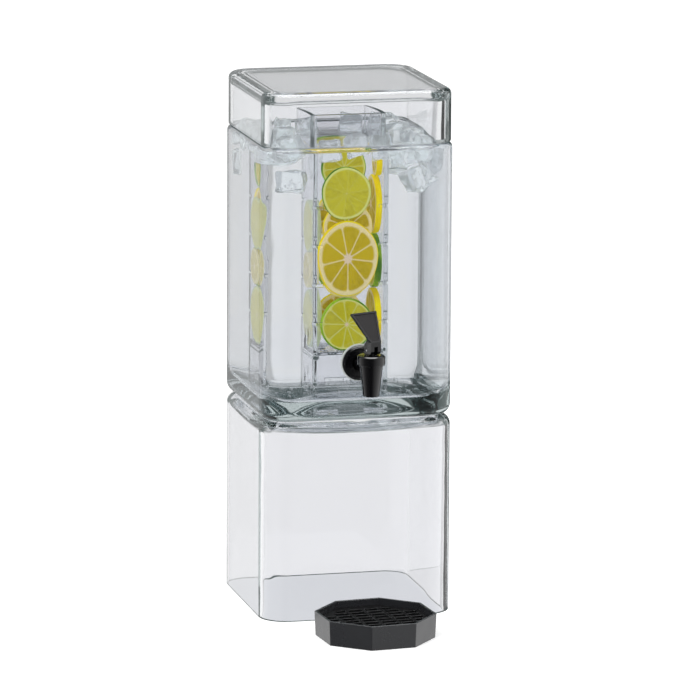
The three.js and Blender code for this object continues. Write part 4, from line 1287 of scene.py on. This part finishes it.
class DISPENSER_OT_stage(bpy.types.Operator):
    """Sets the camera at the photograph's angle, with a pale floor and soft studio light"""
    bl_idname = "dispenser.stage"
    bl_label = "Stage"

    def execute(self, context):
        self.camera(context)
        self.floor(context)
        self.world(context)
        self.lamps(context)
        context.scene.view_settings.view_transform = "Standard"
        cycles = context.scene.cycles
        cycles.max_bounces = cycles.transmission_bounces = cycles.glossy_bounces = CLEAR_BOUNCES
        cycles.transparent_max_bounces = CLEAR_BOUNCES
        return {"FINISHED"}

    def camera(self, context):
        data = bpy.data.cameras.new("photo_camera")
        data.sensor_width = SENSOR
        data.lens = FOCAL_PIXELS / PHOTO_PIXELS * SENSOR
        data.shift_x = (PHOTO_PIXELS / 2 - TARGET_PIXEL[0]) / PHOTO_PIXELS
        data.shift_y = (TARGET_PIXEL[1] - PHOTO_PIXELS / 2) / PHOTO_PIXELS
        data.clip_start, data.clip_end = CLIP
        camera = new_object("photo_camera", data)
        look = (CAMERA_TARGET - CAMERA_PLACE).to_track_quat("-Z", "Y").to_matrix().to_4x4()
        camera.matrix_world = (Matrix.Translation(TOWER + CAMERA_PLACE) @ look
                               @ Matrix.Rotation(CAMERA_ROLL, 4, "Z"))
        context.scene.camera = camera

    def floor(self, context):
        s = context.scene.dispenser_stage
        material, tree = new_material("studio_floor")
        path = add_node(tree, "ShaderNodeLightPath").outputs
        place = add_node(tree, "ShaderNodeTexCoord").outputs["Object"]
        way = add_node(tree, "ShaderNodeVectorMath", {0: place, 1: tuple(TOWER)}, operation="SUBTRACT")
        parts = add_node(tree, "ShaderNodeSeparateXYZ", {0: way}).outputs
        across = add_node(tree, "ShaderNodeMath", {0: parts["X"]}, operation="ABSOLUTE")
        along = add_node(tree, "ShaderNodeMath", {0: parts["Y"]}, operation="ABSOLUTE")
        square = add_node(tree, "ShaderNodeMath", {0: across, 1: along}, operation="MAXIMUM")
        # Painted shadow: inside the stand's footprint, rays through the clear shells see a constant grey glow in
        # place of the floor; outside it they go on to the studio
        under = add_node(tree, "ShaderNodeMapRange", {
            "Value": square, "From Min": TOWER_HALF - STAND_SHADOW_START, "From Max": TOWER_HALF + STAND_SHADOW_END,
            "To Min": 1.0, "To Max": 0.0})
        paint = add_node(tree, "ShaderNodeBsdfDiffuse", {"Color": s.floor})
        white = add_node(tree, "ShaderNodeEmission", {"Color": WHITE, "Strength": s.floor_lift})
        seen = add_node(tree, "ShaderNodeAddShader", {0: paint, 1: white})
        first = add_node(tree, "ShaderNodeMixShader", {0: path["Is Camera Ray"], 1: paint, 2: seen})
        open_way = add_node(tree, "ShaderNodeBsdfTransparent")
        shaded = add_node(tree, "ShaderNodeEmission", {"Color": s.under, "Strength": 1.0})
        through = add_node(tree, "ShaderNodeMixShader", {0: under, 1: open_way, 2: shaded})
        second = add_node(tree, "ShaderNodeMixShader", {0: path["Is Glossy Ray"], 1: first, 2: open_way})
        third = add_node(tree, "ShaderNodeMixShader", {0: path["Is Transmission Ray"], 1: second, 2: through})
        shown(material, Surface=third)
        work = bmesh.new()
        bmesh.ops.create_circle(work, cap_ends=True, segments=64, radius=FLOOR_REACH)
        mesh = new_mesh("floor", work)
        mesh.materials.append(material)
        new_object("floor", mesh)

    def world(self, context):
        s = context.scene.dispenser_stage
        world = bpy.data.worlds.new("studio")
        context.scene.world = world
        world.use_nodes = True
        tree = world.node_tree
        tree.nodes.clear()
        path = add_node(tree, "ShaderNodeLightPath").outputs
        place = add_node(tree, "ShaderNodeTexCoord").outputs["Generated"]
        way = add_node(tree, "ShaderNodeSeparateXYZ", {0: place}).outputs
        depth, sky, roof = (add_node(tree, "ShaderNodeMapRange", {
            "Value": way["Z"], "From Min": low, "From Max": high}, interpolation_type="SMOOTHSTEP")
            for low, high in (DEPTH_RISE, SKY_RISE, ROOF_RISE))

        # What is seen through clear bodies. Light that no surface has mirrored or scattered goes straight.
        ahead = add_node(tree, "ShaderNodeMapRange", {
            "Value": way["Y"], "From Min": STRAIGHT_AHEAD[0], "From Max": STRAIGHT_AHEAD[1],
            "To Min": STRAIGHT_GREY, "To Max": 0.0})
        panes = add_node(tree, "ShaderNodeMapRange", {
            "Value": path["Transmission Depth"], "From Min": PANES_SEEN[0], "From Max": PANES_SEEN[1],
            "To Max": PANES_GREY})
        either = add_node(tree, "ShaderNodeMath", {0: ahead, 1: panes}, operation="MAXIMUM")
        thrown = add_node(tree, "ShaderNodeMath", {
            0: path["Glossy Depth"], 1: path["Diffuse Depth"]}, operation="ADD")
        straight = add_node(tree, "ShaderNodeMapRange", {"Value": thrown, "To Min": 1.0, "To Max": 0.0})
        front = add_node(tree, "ShaderNodeMath", {0: either, 1: straight}, operation="MULTIPLY")
        walls = add_node(tree, "ShaderNodeMath", {
            0: studio_round(tree, way, THROUGH_STOPS), 1: front}, operation="MAXIMUM")
        deep = add_node(tree, "ShaderNodeMix", {"Factor": depth, 6: walls, 7: s.depth_grey}, data_type="RGBA")
        high = add_node(tree, "ShaderNodeMix", {"Factor": sky, 6: deep, 7: SKY}, data_type="RGBA")
        clear_way = add_node(tree, "ShaderNodeVectorMath", {0: high, 3: THROUGH_POWER}, operation="SCALE")

        # What gloss mirrors, with the lamp overhead.
        power = add_node(tree, "ShaderNodeMapRange", {
            "Value": way["Z"], "From Min": LAMP_RISE[0], "From Max": LAMP_RISE[1], "To Min": MIRROR_POWER,
            "To Max": OVERHEAD_POWER}, interpolation_type="SMOOTHSTEP")
        gloss_way = add_node(tree, "ShaderNodeMix", {
            "Factor": roof, 6: studio_round(tree, way, MIRROR_STOPS), 7: WHITE}, data_type="RGBA")
        glossy = add_node(tree, "ShaderNodeVectorMath", {0: gloss_way, 3: power}, operation="SCALE")

        # The even light in the room, and which rays see what. The camera itself sees white.
        light = (s.room_light, s.room_light, s.room_light, 1)
        room = add_node(tree, "ShaderNodeMix", {
            "Factor": path["Is Glossy Ray"], 6: light, 7: glossy}, data_type="RGBA")
        seen = add_node(tree, "ShaderNodeMix", {
            "Factor": path["Is Transmission Ray"], 6: room, 7: clear_way}, data_type="RGBA")
        final = add_node(tree, "ShaderNodeMix", {
            "Factor": path["Is Camera Ray"], 6: seen, 7: WHITE}, data_type="RGBA")
        background = add_node(tree, "ShaderNodeBackground", {"Color": final, "Strength": 1.0})
        add_node(tree, "ShaderNodeOutputWorld", {"Surface": background})

    def lamps(self, context):
        for name, (spot, size, power) in LAMPS.items():
            data = bpy.data.lights.new(name, "AREA")
            data.size = size
            data.energy = power
            lamp = new_object(name, data)
            lamp.location = spot
            aim = TOWER + CAMERA_TARGET - Vector(spot)
            lamp.rotation_euler = aim.to_track_quat("-Z", "Y").to_euler()
            lamp.visible_camera = lamp.visible_glossy = lamp.visible_transmission = False


class DISPENSER_PT_sidebar(bpy.types.Panel):
    """A button for each part of the dispenser, and every setting"""
    bl_idname = "DISPENSER_PT_sidebar"
    bl_label = "Drink dispenser"
    bl_space_type = "VIEW_3D"
    bl_region_type = "UI"
    bl_category = "Dispenser"

    def draw(self, context):
        for operator in OPERATORS:
            self.layout.operator(operator.bl_idname)
        for key in SETTINGS:
            settings = getattr(context.scene, key)
            box = self.layout.box()
            for name in settings.__annotations__:
                box.prop(settings, name)


SETTINGS = {
    "dispenser_shells": ShellSettings,
    "dispenser_tube": TubeSettings,
    "dispenser_water": WaterSettings,
    "dispenser_fruit": FruitSettings,
    "dispenser_tap": TapSettings,
    "dispenser_tray": TraySettings,
    "dispenser_stage": StageSettings,
}
OPERATORS = (
    DISPENSER_OT_stage, DISPENSER_OT_stand, DISPENSER_OT_tank, DISPENSER_OT_lid, DISPENSER_OT_tube,
    DISPENSER_OT_fruit, DISPENSER_OT_tap, DISPENSER_OT_tray, DISPENSER_OT_water,
)


def register():
    for key, group in SETTINGS.items():
        bpy.utils.register_class(group)
        setattr(bpy.types.Scene, key, bpy.props.PointerProperty(type=group))
    for kind in (*OPERATORS, DISPENSER_PT_sidebar):
        bpy.utils.register_class(kind)


def unregister():
    for kind in (DISPENSER_PT_sidebar, *reversed(OPERATORS)):
        bpy.utils.unregister_class(kind)
    for key, group in SETTINGS.items():
        delattr(bpy.types.Scene, key)
        bpy.utils.unregister_class(group)


def main():
    register()
    for operator in OPERATORS:
        family, name = operator.bl_idname.split(".")
        getattr(getattr(bpy.ops, family), name)()


if __name__ == "__main__":
    main()
